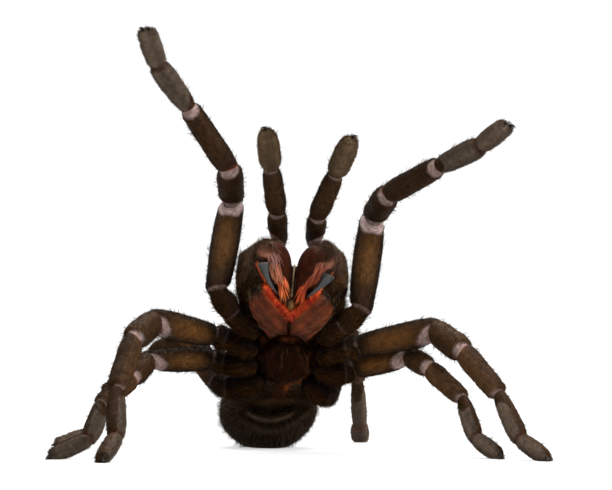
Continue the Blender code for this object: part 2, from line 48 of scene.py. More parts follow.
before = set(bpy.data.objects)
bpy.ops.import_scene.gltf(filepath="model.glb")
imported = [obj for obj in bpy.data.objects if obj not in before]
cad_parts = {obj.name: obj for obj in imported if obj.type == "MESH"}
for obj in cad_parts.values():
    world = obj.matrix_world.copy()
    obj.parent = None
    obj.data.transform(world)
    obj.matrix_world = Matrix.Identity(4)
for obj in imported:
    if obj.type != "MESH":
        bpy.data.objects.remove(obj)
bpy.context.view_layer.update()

# Metres in a millimetre, the gap between the solids of a limb, and the shift of all the tables
MM = 0.001
GAP = 0.3
CENTRE_SHIFT = np.array([1.672, 14.364, 0.0])
UP = np.array([0.0, 0.0, 1.0])
SIDES = (("right", -1), ("left", 1))

# Body frame: where the middle of the sternum is and how far the front body is raised
STERNUM_CENTRE = np.array([-3.1, -18.0, 14.2])
BODY_PITCH = math.radians(52.0)
BODY_ROLL = math.radians(5.0)

# Front body: levels above the sternum's own plane and places toward the front
COXA_HALF_HEIGHT = 1.9
CARAPACE_FLOOR = 3.5
EYE_LEVEL = 10.25
EYE_ROW_Y = 9.6
FOVEA_Y = -2.5

# Abdomen: where its front end is, its size, and where the furrow under the waist is
ABDOMEN_FRONT = np.array([-4.3, -8.5, 8.6])
ABDOMEN_LENGTH = 22.6
ABDOMEN_HALF_WIDTH = 7.8
ABDOMEN_HALF_HEIGHT = 6.7
ABDOMEN_REAR_LEVEL = 5.0
FURROW_X = -5.7
FURROW_LEVEL = 6.3

# Heights above the floor: the middle of a standing foot's tip, and the lowest places of the
# abdomen, of a foot and of the hair
TIP_LEVEL = 0.5
LOWEST_BELLY = 0.03
LOWEST_SKIN = 0.02
LOWEST_HAIR = 0.01

# Half widths of each leg pair: femur (base, middle, end), patella, tibia, metatarsus, tarsus
LEG_WIDTH = {
    1: ((2.05, 2.3, 2.15), 2.1, 1.85, 1.75, 1.65),
    2: ((1.9, 2.15, 2.2), 2.15, 1.8, 1.55, 1.55),
    3: ((1.8, 1.95, 1.75), 1.75, 1.6, 1.4, 1.45),
    4: ((1.8, 2.0, 1.95), 1.8, 1.65, 1.25, 1.45),
}

# Each leg: inner end of the coxa, coxa to trochanter joint and trochanter to femur joint
# in the body frame, then azimuth, elevation and length of femur, patella, tibia,
# metatarsus and tarsus. Azimuth 0 is toward the camera side, 90 toward +X
LEGS = {
    "1_right": (
        ((-4.55, 4.75, 1.1), (-8.9, 7.8, 1.1), (-11.6, 11.1, 2.5)),
        ((166, 57, 16.3), (-2, 33, 9.2), (-43, 46, 12.8), (-39, 41, 9.6), (-20, 47, 7.0)),
    ),
    "1_left": (
        ((4.55, 4.75, 1.1), (8.1, 7.1, 1.1), (10.8, 9.6, 2.5)),
        ((165, 62, 16.3), (15, 22, 9.2), (39, 19, 12.8), (42, 18, 9.6), (40, 27, 6.6)),
    ),
    "2_right": (
        ((-4.5, 1.5, 1.1), (-9.4, 2.6, 1.1), (-11.5, 2.4, 2.0)),
        ((-40, 9, 14.3), (-20, -17, 8.4), (-19, -46, 10.3), (1, -53, 8.8), (-18, -31, 6.8)),
    ),
    "2_left": (
        ((4.5, 1.5, 1.1), (8.9, 2.6, 1.1), (10.9, 2.8, 2.0)),
        ((57, 10, 14.3), (31, -21, 8.4), (40, -38, 10.3), (33, -50, 8.8), (36, -26, 6.8)),
    ),
    "3_right": (
        ((-4.5, -1.3, 1.1), (-9.3, -2.2, 1.1), (-11.3, -2.4, 2.0)),
        ((-56, 0, 12.0), (-19, -21, 7.0), (-43, -29, 8.0), (-13, -37, 8.6), (-67, -29, 6.6)),
    ),
    "3_left": (
        ((4.5, -1.3, 1.1), (8.7, -2.2, 1.1), (10.2, -2.6, 3.0)),
        ((60, 11, 10.5), (24, -13, 7.2), (51, -35, 8.0), (18, -44, 8.6), (34, -28, 6.6)),
    ),
    "4_right": (
        ((-3.3, -4.4, 1.1), (-8.4, -7.2, 1.3), (-10.6, -8.0, 3.2)),
        ((-155, 33, 13.3), (-124, -25, 7.6), (-113, -37, 10.6), (-11, -36, 10.4), (-62, -12, 6.8)),
    ),
    "4_left": (
        ((3.3, -4.4, 1.1), (6.1, -7.1, 1.3), (7.3, -8.3, 3.3)),
        ((165, 56, 13.3), (168, -25, 7.6), (172, -35, 10.6), (176, -47, 10.4), (179, -20, 6.8)),
    ),
}

# Each palp: start of the trochanter and trochanter to femur joint in the body frame, then
# azimuth, elevation and length of femur, patella, tibia and tarsus, then how far the middle
# of the femur swings out round the jaw
PALPS = {
    "right": (
        ((-6.6, 10.7, 2.8), (-7.5, 10.1, 4.6)),
        ((140, 42, 11.0), (-1, 38, 7.2), (-10, 53, 8.4), (-7, 49, 7.6)),
        -1.9,
    ),
    "left": (
        ((6.6, 11.4, 2.8), (7.3, 12.0, 4.6)),
        ((-154, 39, 11.3), (3, 33, 7.0), (31, 50, 8.4), (28, 47, 7.6)),
        1.2,
    ),
}
# Half widths of a palp: femur, patella, tibia and tarsus
PALP_WIDTH = (1.85, 1.6, 1.65, 1.85)

# Joint skin of a limb: joint number, then its reach before and after the joint on the
# underside, how gently it starts, its depth as a share of the half width, its folds, how
# pale it is and how far it turns from the underside toward the animal's front
FRONT_LEG_MEMBRANES = {
    1: (0.25, 0.15, 0.3, 0.07, 1, 0.10, 0.6),
    2: (0.40, 0.25, 0.3, 0.10, 1, 0.30, 0.6),
    3: (4.20, 0.80, 1.5, 0.12, 5, 0.88, 0.4),
    4: (0.50, 0.80, 0.2, 0.12, 2, 0.80, 0.9),
    5: (1.20, 0.15, 0.5, 0.10, 2, 0.55, 0.6),
    6: (0.15, 0.15, 0.2, 0.22, 1, 0.10, 0.5),
}
LEG_MEMBRANES = {
    **FRONT_LEG_MEMBRANES,
    3: (2.80, 0.10, 1.0, 0.10, 3, 0.56, -0.60),
    4: (0.40, 0.75, 0.2, 0.12, 2, 0.54, 1.0),
    5: (0.50, 0.12, 0.4, 0.10, 1, 0.30, 0.5),
}
PALP_MEMBRANES = {
    1: (0.35, 0.25, 0.3, 0.10, 1, 0.25, 0.0),
    3: (1.30, 3.10, 0.6, 0.12, 4, 0.85, 0.0),
    4: (0.35, 0.45, 0.2, 0.12, 2, 0.50, 0.0),
    5: (0.30, 0.20, 0.2, 0.12, 1, 0.35, 0.0),
}

# Grid of a limb: its columns, the step between rows, the step in folds and how far that goes on
# past them, the least step, and the last rows' distances from the tip
LIMB_COLUMNS = 48
ROW_STEP = 0.4
FOLD_STEP = 0.11
FOLD_MARGIN = 0.4
LEAST_STEP = 0.035
TIP_ROWS = (0.0, 0.04, 0.12, 0.25)

# Least half width of a limb, and how far its rings turn before a joint, as a share of it
LEAST_WIDTH = 0.08
MITRE_REACH = 1.7

# Half the size of a tuft's spot on the unwrap
PATCH = 0.0015

# Turn of the front body round its own length, and its own directions in the world
ROLL_TURN = np.array(
    [
        [math.cos(BODY_ROLL), 0.0, math.sin(BODY_ROLL)],
        [0.0, 1.0, 0.0],
        [-math.sin(BODY_ROLL), 0.0, math.cos(BODY_ROLL)],
    ]
)
LATERAL = ROLL_TURN @ np.array([1.0, 0.0, 0.0])
FORWARD = ROLL_TURN @ np.array([0.0, -math.cos(BODY_PITCH), math.sin(BODY_PITCH)])
DORSAL = ROLL_TURN @ np.array([0.0, math.sin(BODY_PITCH), math.cos(BODY_PITCH)])

# Skins and limb chains by name, for the hair and claws that are laid on them later
SKINS = {}
CHAINS = {}


def tone(label, help_text, *value):
    """A colour that the user can change."""
    return FloatVectorProperty(
        name=label, description=help_text, default=value, size=3, subtype="COLOR", min=0.0, max=1.0
    )


def amount(label, help_text, value, measure="NONE"):
    """A number that the user can change, with its unit: a length, an angle or a power."""
    return FloatProperty(name=label, description=help_text, default=value, unit=measure)


class TarantulaColours(bpy.types.PropertyGroup):
    """Colours of the animal and of the stage."""

    brown: tone("Leg brown", "Dark brown hair of legs and palps", 0.0195, 0.0092, 0.0036)
    amber: tone("Amber", "Thinly haired middle of the femora", 0.068, 0.0285, 0.0072)
    velvet: tone("Velvet", "Grey-brown velvet of the tibiae", 0.034, 0.0170, 0.0080)
    pad: tone("Pad hair", "Pad hair under metatarsi and tarsi", 0.080, 0.057, 0.041)
    membrane: tone("Joint skin", "Bare skin at the joints", 0.290, 0.222, 0.208)
    rim: tone("Joint rim", "Reddish edge of the joint skin", 0.26, 0.066, 0.032)
    coxa: tone("Coxae", "Underside of coxae and sternum", 0.0047, 0.0015, 0.0005)
    sternum: tone("Sternum", "Plate between the coxae", 0.0130, 0.0036, 0.0008)
    seam: tone("Seams", "Skin between the coxae", 0.050, 0.0165, 0.0060)
    maxilla: tone("Maxillae", "Plates beside the mouth", 0.056, 0.0115, 0.0035)
    # Mouth: near-black, painted shade for the deep places round the mouth
    mouth: tone("Mouth", "Deep skin round the mouth", 0.0022, 0.0012, 0.0009)
    lip: tone("Upper lip", "Lip seen between the jaws", 0.20, 0.13, 0.075)
    fringe: tone("Mouth fringe", "Fringe of hair round the mouth", 0.80, 0.115, 0.022)
    jaw: tone("Jaws", "Sides and top of the chelicerae", 0.017, 0.0095, 0.006)
    jaw_inside: tone("Jaw inside", "Inner faces of the chelicerae", 0.020, 0.0046, 0.0017)
    flush: tone("Jaw skin", "Soft skin above the fangs", 0.165, 0.064, 0.040)
    fang: tone("Fangs", "Horn of the fangs", 0.0105, 0.0120, 0.0120)
    abdomen: tone("Abdomen", "Skin of the abdomen", 0.0122, 0.0068, 0.0031)
    fuzz: tone("Abdomen fuzz", "Tips of the abdomen's hair", 0.046, 0.031, 0.020)
    carapace: tone("Carapace", "Shield over the front body", 0.024, 0.014, 0.009)
    eye: tone("Eyes", "Cornea of the eyes", 0.006, 0.005, 0.005)
    claw: tone("Claws", "Horn of the claws", 0.006, 0.005, 0.004)
    floor: tone("Floor", "Plain pale floor", 0.20, 0.20, 0.20)


class TarantulaSizes(bpy.types.PropertyGroup):
    """Sizes of skin and hair."""

    coat_depth: amount("Coat depth", "How far the skin lies inside the solids", 0.00012, "LENGTH")
    fold_height: amount("Fold height", "Height of the folds in joint skin", 0.00004, "LENGTH")
    down_length: amount("Short hair", "Length of the hair that lies flat", 0.00065, "LENGTH")
    bristle_length: amount("Long hair", "Length of the hair that stands out", 0.0016, "LENGTH")
    pad_length: amount("Pad hair", "Length of the velvet under the feet", 0.00042, "LENGTH")
    fringe_length: amount("Fringe", "Length of the hair round the mouth", 0.0019, "LENGTH")
    hair_radius: amount("Tuft radius", "Radius of a short tuft at its root", 0.000028, "LENGTH")
    leg_tufts: IntProperty(name="Leg tufts", description="Short tufts on one leg", default=16600)
    body_tufts: IntProperty(name="Body tufts", description="Tufts on the abdomen", default=28000)


class TarantulaStage(bpy.types.PropertyGroup):
    """Camera and light."""

    lens: amount("Focal length", "Camera's focal length in mm", 257.35)
    distance: amount("Distance", "Camera to the animal", 0.7, "LENGTH")
    height: amount("Height", "Camera above the floor", 0.0282, "LENGTH")
    tilt: amount("Tilt", "Camera's tilt upward", math.radians(0.354), "ROTATION")
    sky: amount("Surround", "Strength of the white surround", 0.26)
    top_power: amount("Top light", "Power of the light above", 16.0, "POWER")
    key_power: amount("Key light", "Power of the light at front left", 4.6, "POWER")
    fill_power: amount("Fill light", "Power of the light at front right", 10.8, "POWER")
    wall_power: amount("Wall light", "Power of the light on the wall", 36.0, "POWER")
    floor_light: amount("Floor light", "Light through the floor, as on a light table", 0.62)


def palette():
    """The animal's colours as arrays, each under its own name."""
    colours = bpy.context.scene.tarantula_colours
    keys = TarantulaColours.__annotations__
    return SimpleNamespace(**{key: np.array(getattr(colours, key)) for key in keys})


def smooth(t):
    """Ease from 0 to 1: 3 t squared minus 2 t cubed."""
    t = np.clip(t, 0.0, 1.0)
    return t * t * (3.0 - 2.0 * t)


def bell(t):
    """Bell curve of height 1: e to the minus t squared."""
    return np.exp(-(t * t))


def unit(v):
    """Vectors of length 1."""
    return v / np.maximum(np.linalg.norm(v, axis=-1, keepdims=True), 1e-12)


def turns(count):
    """Angles of the columns of a grid that closes round."""
    return 2 * math.pi * np.arange(count) / count


# Angles of a limb's columns: 0 on its side, a quarter turn on its back
LIMB_ANGLES = turns(LIMB_COLUMNS)


def wrapped(angle):
    """An angle as the same turn between minus and plus half a turn."""
    return (angle + math.pi) % (2 * math.pi) - math.pi


def swell(wave, power):
    """A wave with its sign kept and its size raised to a power, to fill a section's corners."""
    return np.sign(wave) * np.abs(wave) ** power


def blend(a, b, weight):
    """Colours or points a and b mixed by a weight for each place."""
    return a + (b - a) * np.asarray(weight)[..., None]


def paint(tint, *coats):
    """A tint under coats laid on in turn, each a colour and its weight for each place."""
    for colour, weight in coats:
        tint = blend(tint, colour, weight)
    return tint


def even_tint(points, colour):
    """One colour over a grid."""
    return np.zeros(points.shape) + colour


def through(knots, values, at):
    """Smooth curve through values at rising knots: a cubic on each stretch, slopes matched."""
    knots = np.asarray(knots, float)
    values = np.asarray(values, float)
    slope = np.gradient(values, knots, axis=0)
    i = np.clip(np.searchsorted(knots, at, side="right") - 1, 0, len(knots) - 2)
    step = knots[i + 1] - knots[i]
    s = (at - knots[i]) / step
    if values.ndim > 1:
        s = s[..., None]
        step = step[..., None]
    start = (2 * s**3 - 3 * s**2 + 1) * values[i] + (s**3 - 2 * s**2 + s) * step * slope[i]
    end = (3 * s**2 - 2 * s**3) * values[i + 1] + (s**3 - s**2) * step * slope[i + 1]
    return start + end


def closed_curve(points, count):
    """Smooth closed curve through points, count places evenly spread over them."""
    points = np.asarray(points, float)
    ring = np.vstack([points[-3:], points, points[:3]])
    knots = np.arange(len(ring)) - 3.0
    return through(knots, ring, np.arange(count) * len(points) / count)


def body_point(x, y, z):
    """Points of the front body's own frame, in the world frame."""
    x, y, z = np.broadcast_arrays(x, y, z)
    return STERNUM_CENTRE + x[..., None] * LATERAL + y[..., None] * FORWARD + z[..., None] * DORSAL


def heading(azimuth, elevation):
    """Unit vector: azimuth 0 is toward the camera side, 90 toward +X, elevation is up."""
    a = math.radians(azimuth)
    e = math.radians(elevation)
    return np.array([math.sin(a) * math.cos(e), -math.cos(a) * math.cos(e), math.sin(e)])


class Skin:
    """A closed surface on a grid: rows run along the piece and columns close round it.

    lie is the direction of its hair, fur how dense the hair is and reach how long. marks are
    further values over the grid, such as the edge that bears a fringe.
    """

    def __init__(self, points, tint, lie=None, fur=1.0, reach=1.0, **marks):
        along = np.gradient(points, axis=0)
        around = np.roll(points, -1, axis=1) - np.roll(points, 1, axis=1)
        self.points = points
        self.tint = tint
        self.normal = unit(np.cross(along, around))
        self.along = unit(along)
        self.fur = fur * np.ones(points.shape[:2])
        self.reach = reach * np.ones(points.shape[:2])
        for name, values in marks.items():
            setattr(self, name, values)
        if lie is not None:
            self.lie(lie)
        verts, tris = grid_mesh(points)
        if signed_volume(verts, tris) < 0:
            self.normal = -self.normal

    def lie(self, direction):
        """Turn the lie of the hair to a direction, or to one for each place."""
        self.along = unit(direction + np.zeros_like(self.points))

    def scatter(self, count, weight, rng):
        """Random roots, as many in each cell as its area times its weight asks for."""
        p = self.points
        right = np.roll(p, -1, axis=1) - p
        area = np.linalg.norm(np.cross(p[1:] - p[:-1], right[:-1]), axis=-1)
        chance = (area * np.maximum(weight[:-1], 0.0)).ravel()
        cell = rng.choice(chance.size, size=count, p=chance / chance.sum())
        row, col = np.divmod(cell, p.shape[1])
        return row, col, rng.random(count), rng.random(count)

    def at(self, values, place):
        """Values of the grid at scattered places, mixed between its four corners."""
        row, col, down, across = place
        nxt = (col + 1) % self.points.shape[1]
        if values.ndim == 3:
            down = down[:, None]
            across = across[:, None]
        top = values[row, col] * (1 - across) + values[row, nxt] * across
        low = values[row + 1, col] * (1 - across) + values[row + 1, nxt] * across
        return top * (1 - down) + low * down

    def unwrap(self, place):
        """Places on the skin's own unwrap: around it and along it, each from 0 to 1."""
        row, col, down, across = place
        rows, cols = self.points.shape[:2]
        return np.stack([(col + across) / cols, (row + down) / (rows - 1)], axis=-1)


def grid_mesh(points):
    """Vertices and triangles of a grid that closes round, with a pole at each end."""
    rows, cols = points.shape[:2]
    verts = np.vstack([points.reshape(-1, 3), points[0].mean(0), points[-1].mean(0)])
    row = np.arange(rows - 1)[:, None] * cols
    col = np.arange(cols)[None]
    nxt = (col + 1) % cols
    a, b = (row + col).ravel(), (row + nxt).ravel()
    c, d = b + cols, a + cols
    first, last = rows * cols, rows * cols + 1
    edge, after = col.ravel(), nxt.ravel()
    far = (rows - 1) * cols
    tris = np.vstack(
        [
            np.stack([a, d, c], axis=-1),
            np.stack([a, c, b], axis=-1),
            np.stack([np.full(cols, first), edge, after], axis=-1),
            np.stack([np.full(cols, last), far + after, far + edge], axis=-1),
        ]
    )
    return verts, tris


def signed_volume(verts, tris):
    """Six times the volume inside a closed mesh, below 0 if its faces point in."""
    a, b, c = verts[tris[:, 0]], verts[tris[:, 1]], verts[tris[:, 2]]
    return np.einsum("ij,ij->", a, np.cross(b, c))


def add_object(name, data):
    """Put mesh, light or camera data in the scene."""
    obj = bpy.data.objects.new(name, data)
    bpy.context.scene.collection.objects.link(obj)
    return obj


def add_piece(name, verts, tris, tint, finish, nodes=(), unwrap=None):
    """Put a mesh in millimetres on the body, with its finish and the nodes it replaces."""
    if signed_volume(verts, tris) < 0:
        tris = tris[:, ::-1]
    places = (verts + CENTRE_SHIFT) * MM
    mesh = bpy.data.meshes.new(name)
    mesh.from_pydata(places.astype(np.float32), [], np.ascontiguousarray(tris, dtype=np.int32))
    mesh.shade_smooth()
    layer = mesh.attributes.new("tint", "FLOAT_COLOR", "POINT")
    rgba = np.ones((len(verts), 4), np.float32)
    rgba[:, :3] = np.clip(tint, 0.0, 1.0)
    layer.data.foreach_set("color", rgba.ravel())
    if unwrap is not None:
        corner = np.empty(len(mesh.loops), np.int32)
        mesh.loops.foreach_get("vertex_index", corner)
        layer = mesh.uv_layers.new(name="OFBake")
        layer.data.foreach_set("uv", unwrap[corner].astype(np.float32).ravel())
    mesh.materials.append(MATERIALS[finish])
    obj = add_object(name, mesh)
    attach(obj, "root")
    if nodes:
        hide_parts(*nodes)


def add_skin(name, skin, finish, nodes=()):
    """Put a skin in the scene and keep it for its hair."""
    verts, tris = grid_mesh(skin.points)
    tint = np.vstack([skin.tint.reshape(-1, 3), skin.tint[0].mean(0), skin.tint[-1].mean(0)])
    SKINS[name] = skin
    add_piece(name, verts, tris, tint, finish, nodes)


def joined(parts):
    """Vertices and triangles of several meshes as one mesh."""
    verts = []
    tris = []
    offset = 0
    for part_verts, part_tris in parts:
        verts.append(part_verts)
        tris.append(part_tris + offset)
        offset += len(part_verts)
    return np.vstack(verts), np.vstack(tris)


# Faces of a straight tuft, three at its root and a tip, and of one with a bend
STRAIGHT_TUFT = np.array([[0, 2, 1], [0, 1, 3], [1, 2, 3], [2, 0, 3]])
BENT_TUFT = np.array(
    [
        [0, 2, 1], [0, 1, 4], [0, 4, 3], [1, 2, 5], [1, 5, 4],
        [2, 0, 3], [2, 3, 5], [3, 4, 6], [4, 5, 6], [5, 3, 6],
    ]
)

# How deep a tuft's root is sunk, its width at the bend as a share of its root, how dark its
# root is, and the least and largest share of the lift, length and radius asked for
ROOT_DEPTH = 0.05
BEND_WIDTH = 0.72
ROOT_SHADE = 0.8
LIFT_RANGE = (0.6, 1.3)
LENGTH_RANGE = (0.65, 1.2)
RADIUS_RANGE = (0.75, 1.25)


def grow(
    skin, count, length, radius, lift, rng,
    weight=None, bend=0.0, stray=0.35, shade=1.25, tint=None, vary=0.22,
):
    """Tufts of three sides on a skin, tapering to a point.

    A tuft leaves its root at the angle lift above the lie of the hair and strays sideways by up
    to stray radians. With a bend it has a second length, which droops by that share of the
    lift. Its tip is brighter than its root by shade, and tufts differ in brightness by vary.
    tint takes the place of the skin's own colours: one colour, or a function that gives one for
    each place.
    """
    place = skin.scatter(count, skin.fur if weight is None else weight, rng)
    root = skin.at(skin.points, place)
    normal = unit(skin.at(skin.normal, place))
    along = skin.at(skin.along, place)
    along = unit(along - normal * np.sum(along * normal, axis=-1, keepdims=True))
    across = np.cross(normal, along)
    turn = stray * rng.uniform(-1, 1, count)[:, None]
    flow = along * np.cos(turn) + across * np.sin(turn)
    rise = (lift * rng.uniform(*LIFT_RANGE, count))[:, None]
    size = (length * skin.at(skin.reach, place) * rng.uniform(*LENGTH_RANGE, count))[:, None]
    first = flow * np.cos(rise) + normal * np.sin(rise)
    second = flow * np.cos(rise * (1 - bend)) + normal * np.sin(rise * (1 - bend))
    base = root - normal * ROOT_DEPTH
    middle = base + first * size * 0.5
    side = unit(np.cross(first, normal))
    upright = np.cross(side, first)
    thick = (radius * rng.uniform(*RADIUS_RANGE, count))[:, None]
    corners = [(math.cos(a), math.sin(a)) for a in 2 * math.pi * (np.arange(3) / 3 + 0.25)]
    rings = [base + (side * c + upright * s) * thick for c, s in corners]
    spots = [[-1, -1], [0, -1], [1, -1]]
    gain = [ROOT_SHADE] * 3
    if bend:
        rings += [middle + (side * c + upright * s) * thick * BEND_WIDTH for c, s in corners]
        spots += [[-1, 0], [0, 0], [1, 0]]
        gain += [1.0] * 3
    rings.append(middle + second * size * 0.5)
    verts = np.stack(rings, axis=1)
    verts[..., 2] = np.maximum(verts[..., 2], LOWEST_HAIR)
    if tint is None:
        tint = skin.at(skin.tint, place)
    hue = tint(place) if callable(tint) else tint
    hue = hue * rng.uniform(1.0 - vary, 1.0 + vary, count)[:, None]
    colours = hue[:, None] * np.array(gain + [shade])[None, :, None]
    spots = np.array(spots + [[0, 1]]) * PATCH
    unwrap = skin.unwrap(place)[:, None] * (1 - 2 * PATCH) + PATCH + spots[None]
    return verts, colours, unwrap, BENT_TUFT if bend else STRAIGHT_TUFT


def add_coat(name, batches, finish):
    """Join batches of tufts into one piece of hair with its own unwrap."""
    tris = []
    offset = 0
    for verts, _, _, faces in batches:
        first = offset + np.arange(len(verts)) * verts.shape[1]
        tris.append((first[:, None, None] + faces[None]).reshape(-1, 3))
        offset += verts.shape[0] * verts.shape[1]
    verts, tint, unwrap = (
        np.vstack([batch[part].reshape(-1, batch[part].shape[-1]) for batch in batches])
        for part in range(3)
    )
    add_piece(name, verts, np.vstack(tris), tint, finish, unwrap=unwrap)


# Finish of each kind of skin: roughness, darkest and lightest factor on its tint, features for
# each metre and depth in metres of its grain, gloss, clear coat and light scattered inside
SKIN_FINISHES = {
    "limb_skin": (0.62, (0.7, 1.3), 5200.0, 0.00006, 0.04, 0.0, 0.0),
    "plate_skin": (0.5, (0.6, 1.5), 4200.0, 0.00004, 0.03, 0.0, 0.0),
    "soft_skin": (0.6, (0.6, 1.5), 3600.0, 0.00009, 0.0, 0.0, 0.0),
    "mouth_plate": (0.45, (0.65, 1.4), 3800.0, 0.00003, 0.05, 0.0, 0.1),
    "jaw_plate": (0.55, (0.6, 1.5), 3600.0, 0.00003, 0.02, 0.0, 0.0),
    "fang_horn": (0.22, (0.8, 1.2), 2600.0, 0.000006, 0.4, 0.2, 0.0),
    "claw_horn": (0.4, (0.8, 1.2), 2600.0, 0.000006, 0.15, 0.0, 0.0),
    "cornea": (0.06, (0.95, 1.05), 2600.0, 0.000006, 0.4, 0.2, 0.0),
}

# Finish of all skins: mottling's features as a share of the grain's, how far the roughness
# swings, roughness of the clear coat and depth of the scattered light in metres
CLOUD_SHARE = 0.22
ROUGHNESS_SWING = 0.1
COAT_ROUGHNESS = 0.25
SCATTER_DEPTH = 0.0004

# Finish of each kind of hair: roughness and gloss. All have this mottling
HAIR_CLOUD = 900.0
HAIR_MOTTLE = (0.8, 1.2)
HAIR_FINISHES = {
    "brown_hair": (0.5, 0.015),
    "pad_hair": (0.75, 0.06),
    "fringe_hair": (0.4, 0.15),
}
MATERIALS = {}


def set_inputs(tree, node, inputs):
    """Set a node's inputs, each to a value or joined to another node's socket."""
    for name, value in inputs.items():
        if isinstance(value, bpy.types.NodeSocket):
            tree.links.new(value, node.inputs[name])
        else:
            node.inputs[name].default_value = value


def add_node(tree, kind, inputs, **settings):
    """Add a shader node with its settings and inputs."""
    node = tree.nodes.new("ShaderNode" + kind)
    for name, value in settings.items():
        setattr(node, name, value)
    set_inputs(tree, node, inputs)
    return node


def add_noise(tree, vector, scale, detail):
    """Noise texture with scale as features for each metre."""
    inputs = {"Vector": vector, "Scale": scale, "Detail": detail}
    return add_node(tree, "TexNoise", inputs).outputs["Fac"]


def add_range(tree, value, low, high):
    """Map the middle of a noise to a range."""
    inputs = {"Value": value, "From Min": 0.3, "From Max": 0.7, "To Min": low, "To Max": high}
    return add_node(tree, "MapRange", inputs).outputs["Result"]


def new_material(name):
    """A new material, its node tree and its shader."""
    material = bpy.data.materials.new(name)
    material.use_nodes = True
    tree = material.node_tree
    return material, tree, tree.nodes["Principled BSDF"]


def tinted(tree, shader, scale, mottle):
    """Colour a shader by its mesh's tint, broken up by soft mottling; returns the coordinates."""
    tint = add_node(tree, "Attribute", {}, attribute_name="tint").outputs["Color"]
    vector = add_node(tree, "TexCoord", {}).outputs["Object"]
    cloud = add_range(tree, add_noise(tree, vector, scale, 3.0), *mottle)
    mixed = add_node(tree, "VectorMath", {0: tint, "Scale": cloud}, operation="SCALE")
    set_inputs(tree, shader, {"Base Color": mixed.outputs["Vector"]})
    return vector


def skin_material(name, roughness, mottle, grain_scale, grain_depth, gloss, coat, scatter):
    """Finish of a skin: its tint with soft mottling, and a fine grain as roughness and bump."""
    material, tree, shader = new_material(name)
    vector = tinted(tree, shader, grain_scale * CLOUD_SHARE, mottle)
    grain = add_noise(tree, vector, grain_scale, 4.0)
    smoothest = max(roughness - ROUGHNESS_SWING, 0.05)
    rough = add_range(tree, grain, smoothest, min(roughness + ROUGHNESS_SWING, 1.0))
    bump = add_node(tree, "Bump", {"Strength": 1.0, "Distance": grain_depth, "Height": grain})
    inputs = {
        "Roughness": rough,
        "Normal": bump.outputs["Normal"],
        "Specular IOR Level": gloss,
        "Coat Weight": coat,
        "Coat Roughness": COAT_ROUGHNESS,
        "Subsurface Weight": scatter,
        "Subsurface Scale": SCATTER_DEPTH,
    }
    set_inputs(tree, shader, inputs)
    return material


def hair_material(name, roughness, gloss):
    """Finish of hair: the tint of each tuft, a little uneven over the coat."""
    material, tree, shader = new_material(name)
    tinted(tree, shader, HAIR_CLOUD, HAIR_MOTTLE)
    set_inputs(tree, shader, {"Roughness": roughness, "Specular IOR Level": gloss})
    return material


def make_materials():
    """All finishes of the animal, by name."""
    for name, finish in SKIN_FINISHES.items():
        MATERIALS[name] = skin_material(name, *finish)
    for name, finish in HAIR_FINISHES.items():
        MATERIALS[name] = hair_material(name, *finish)


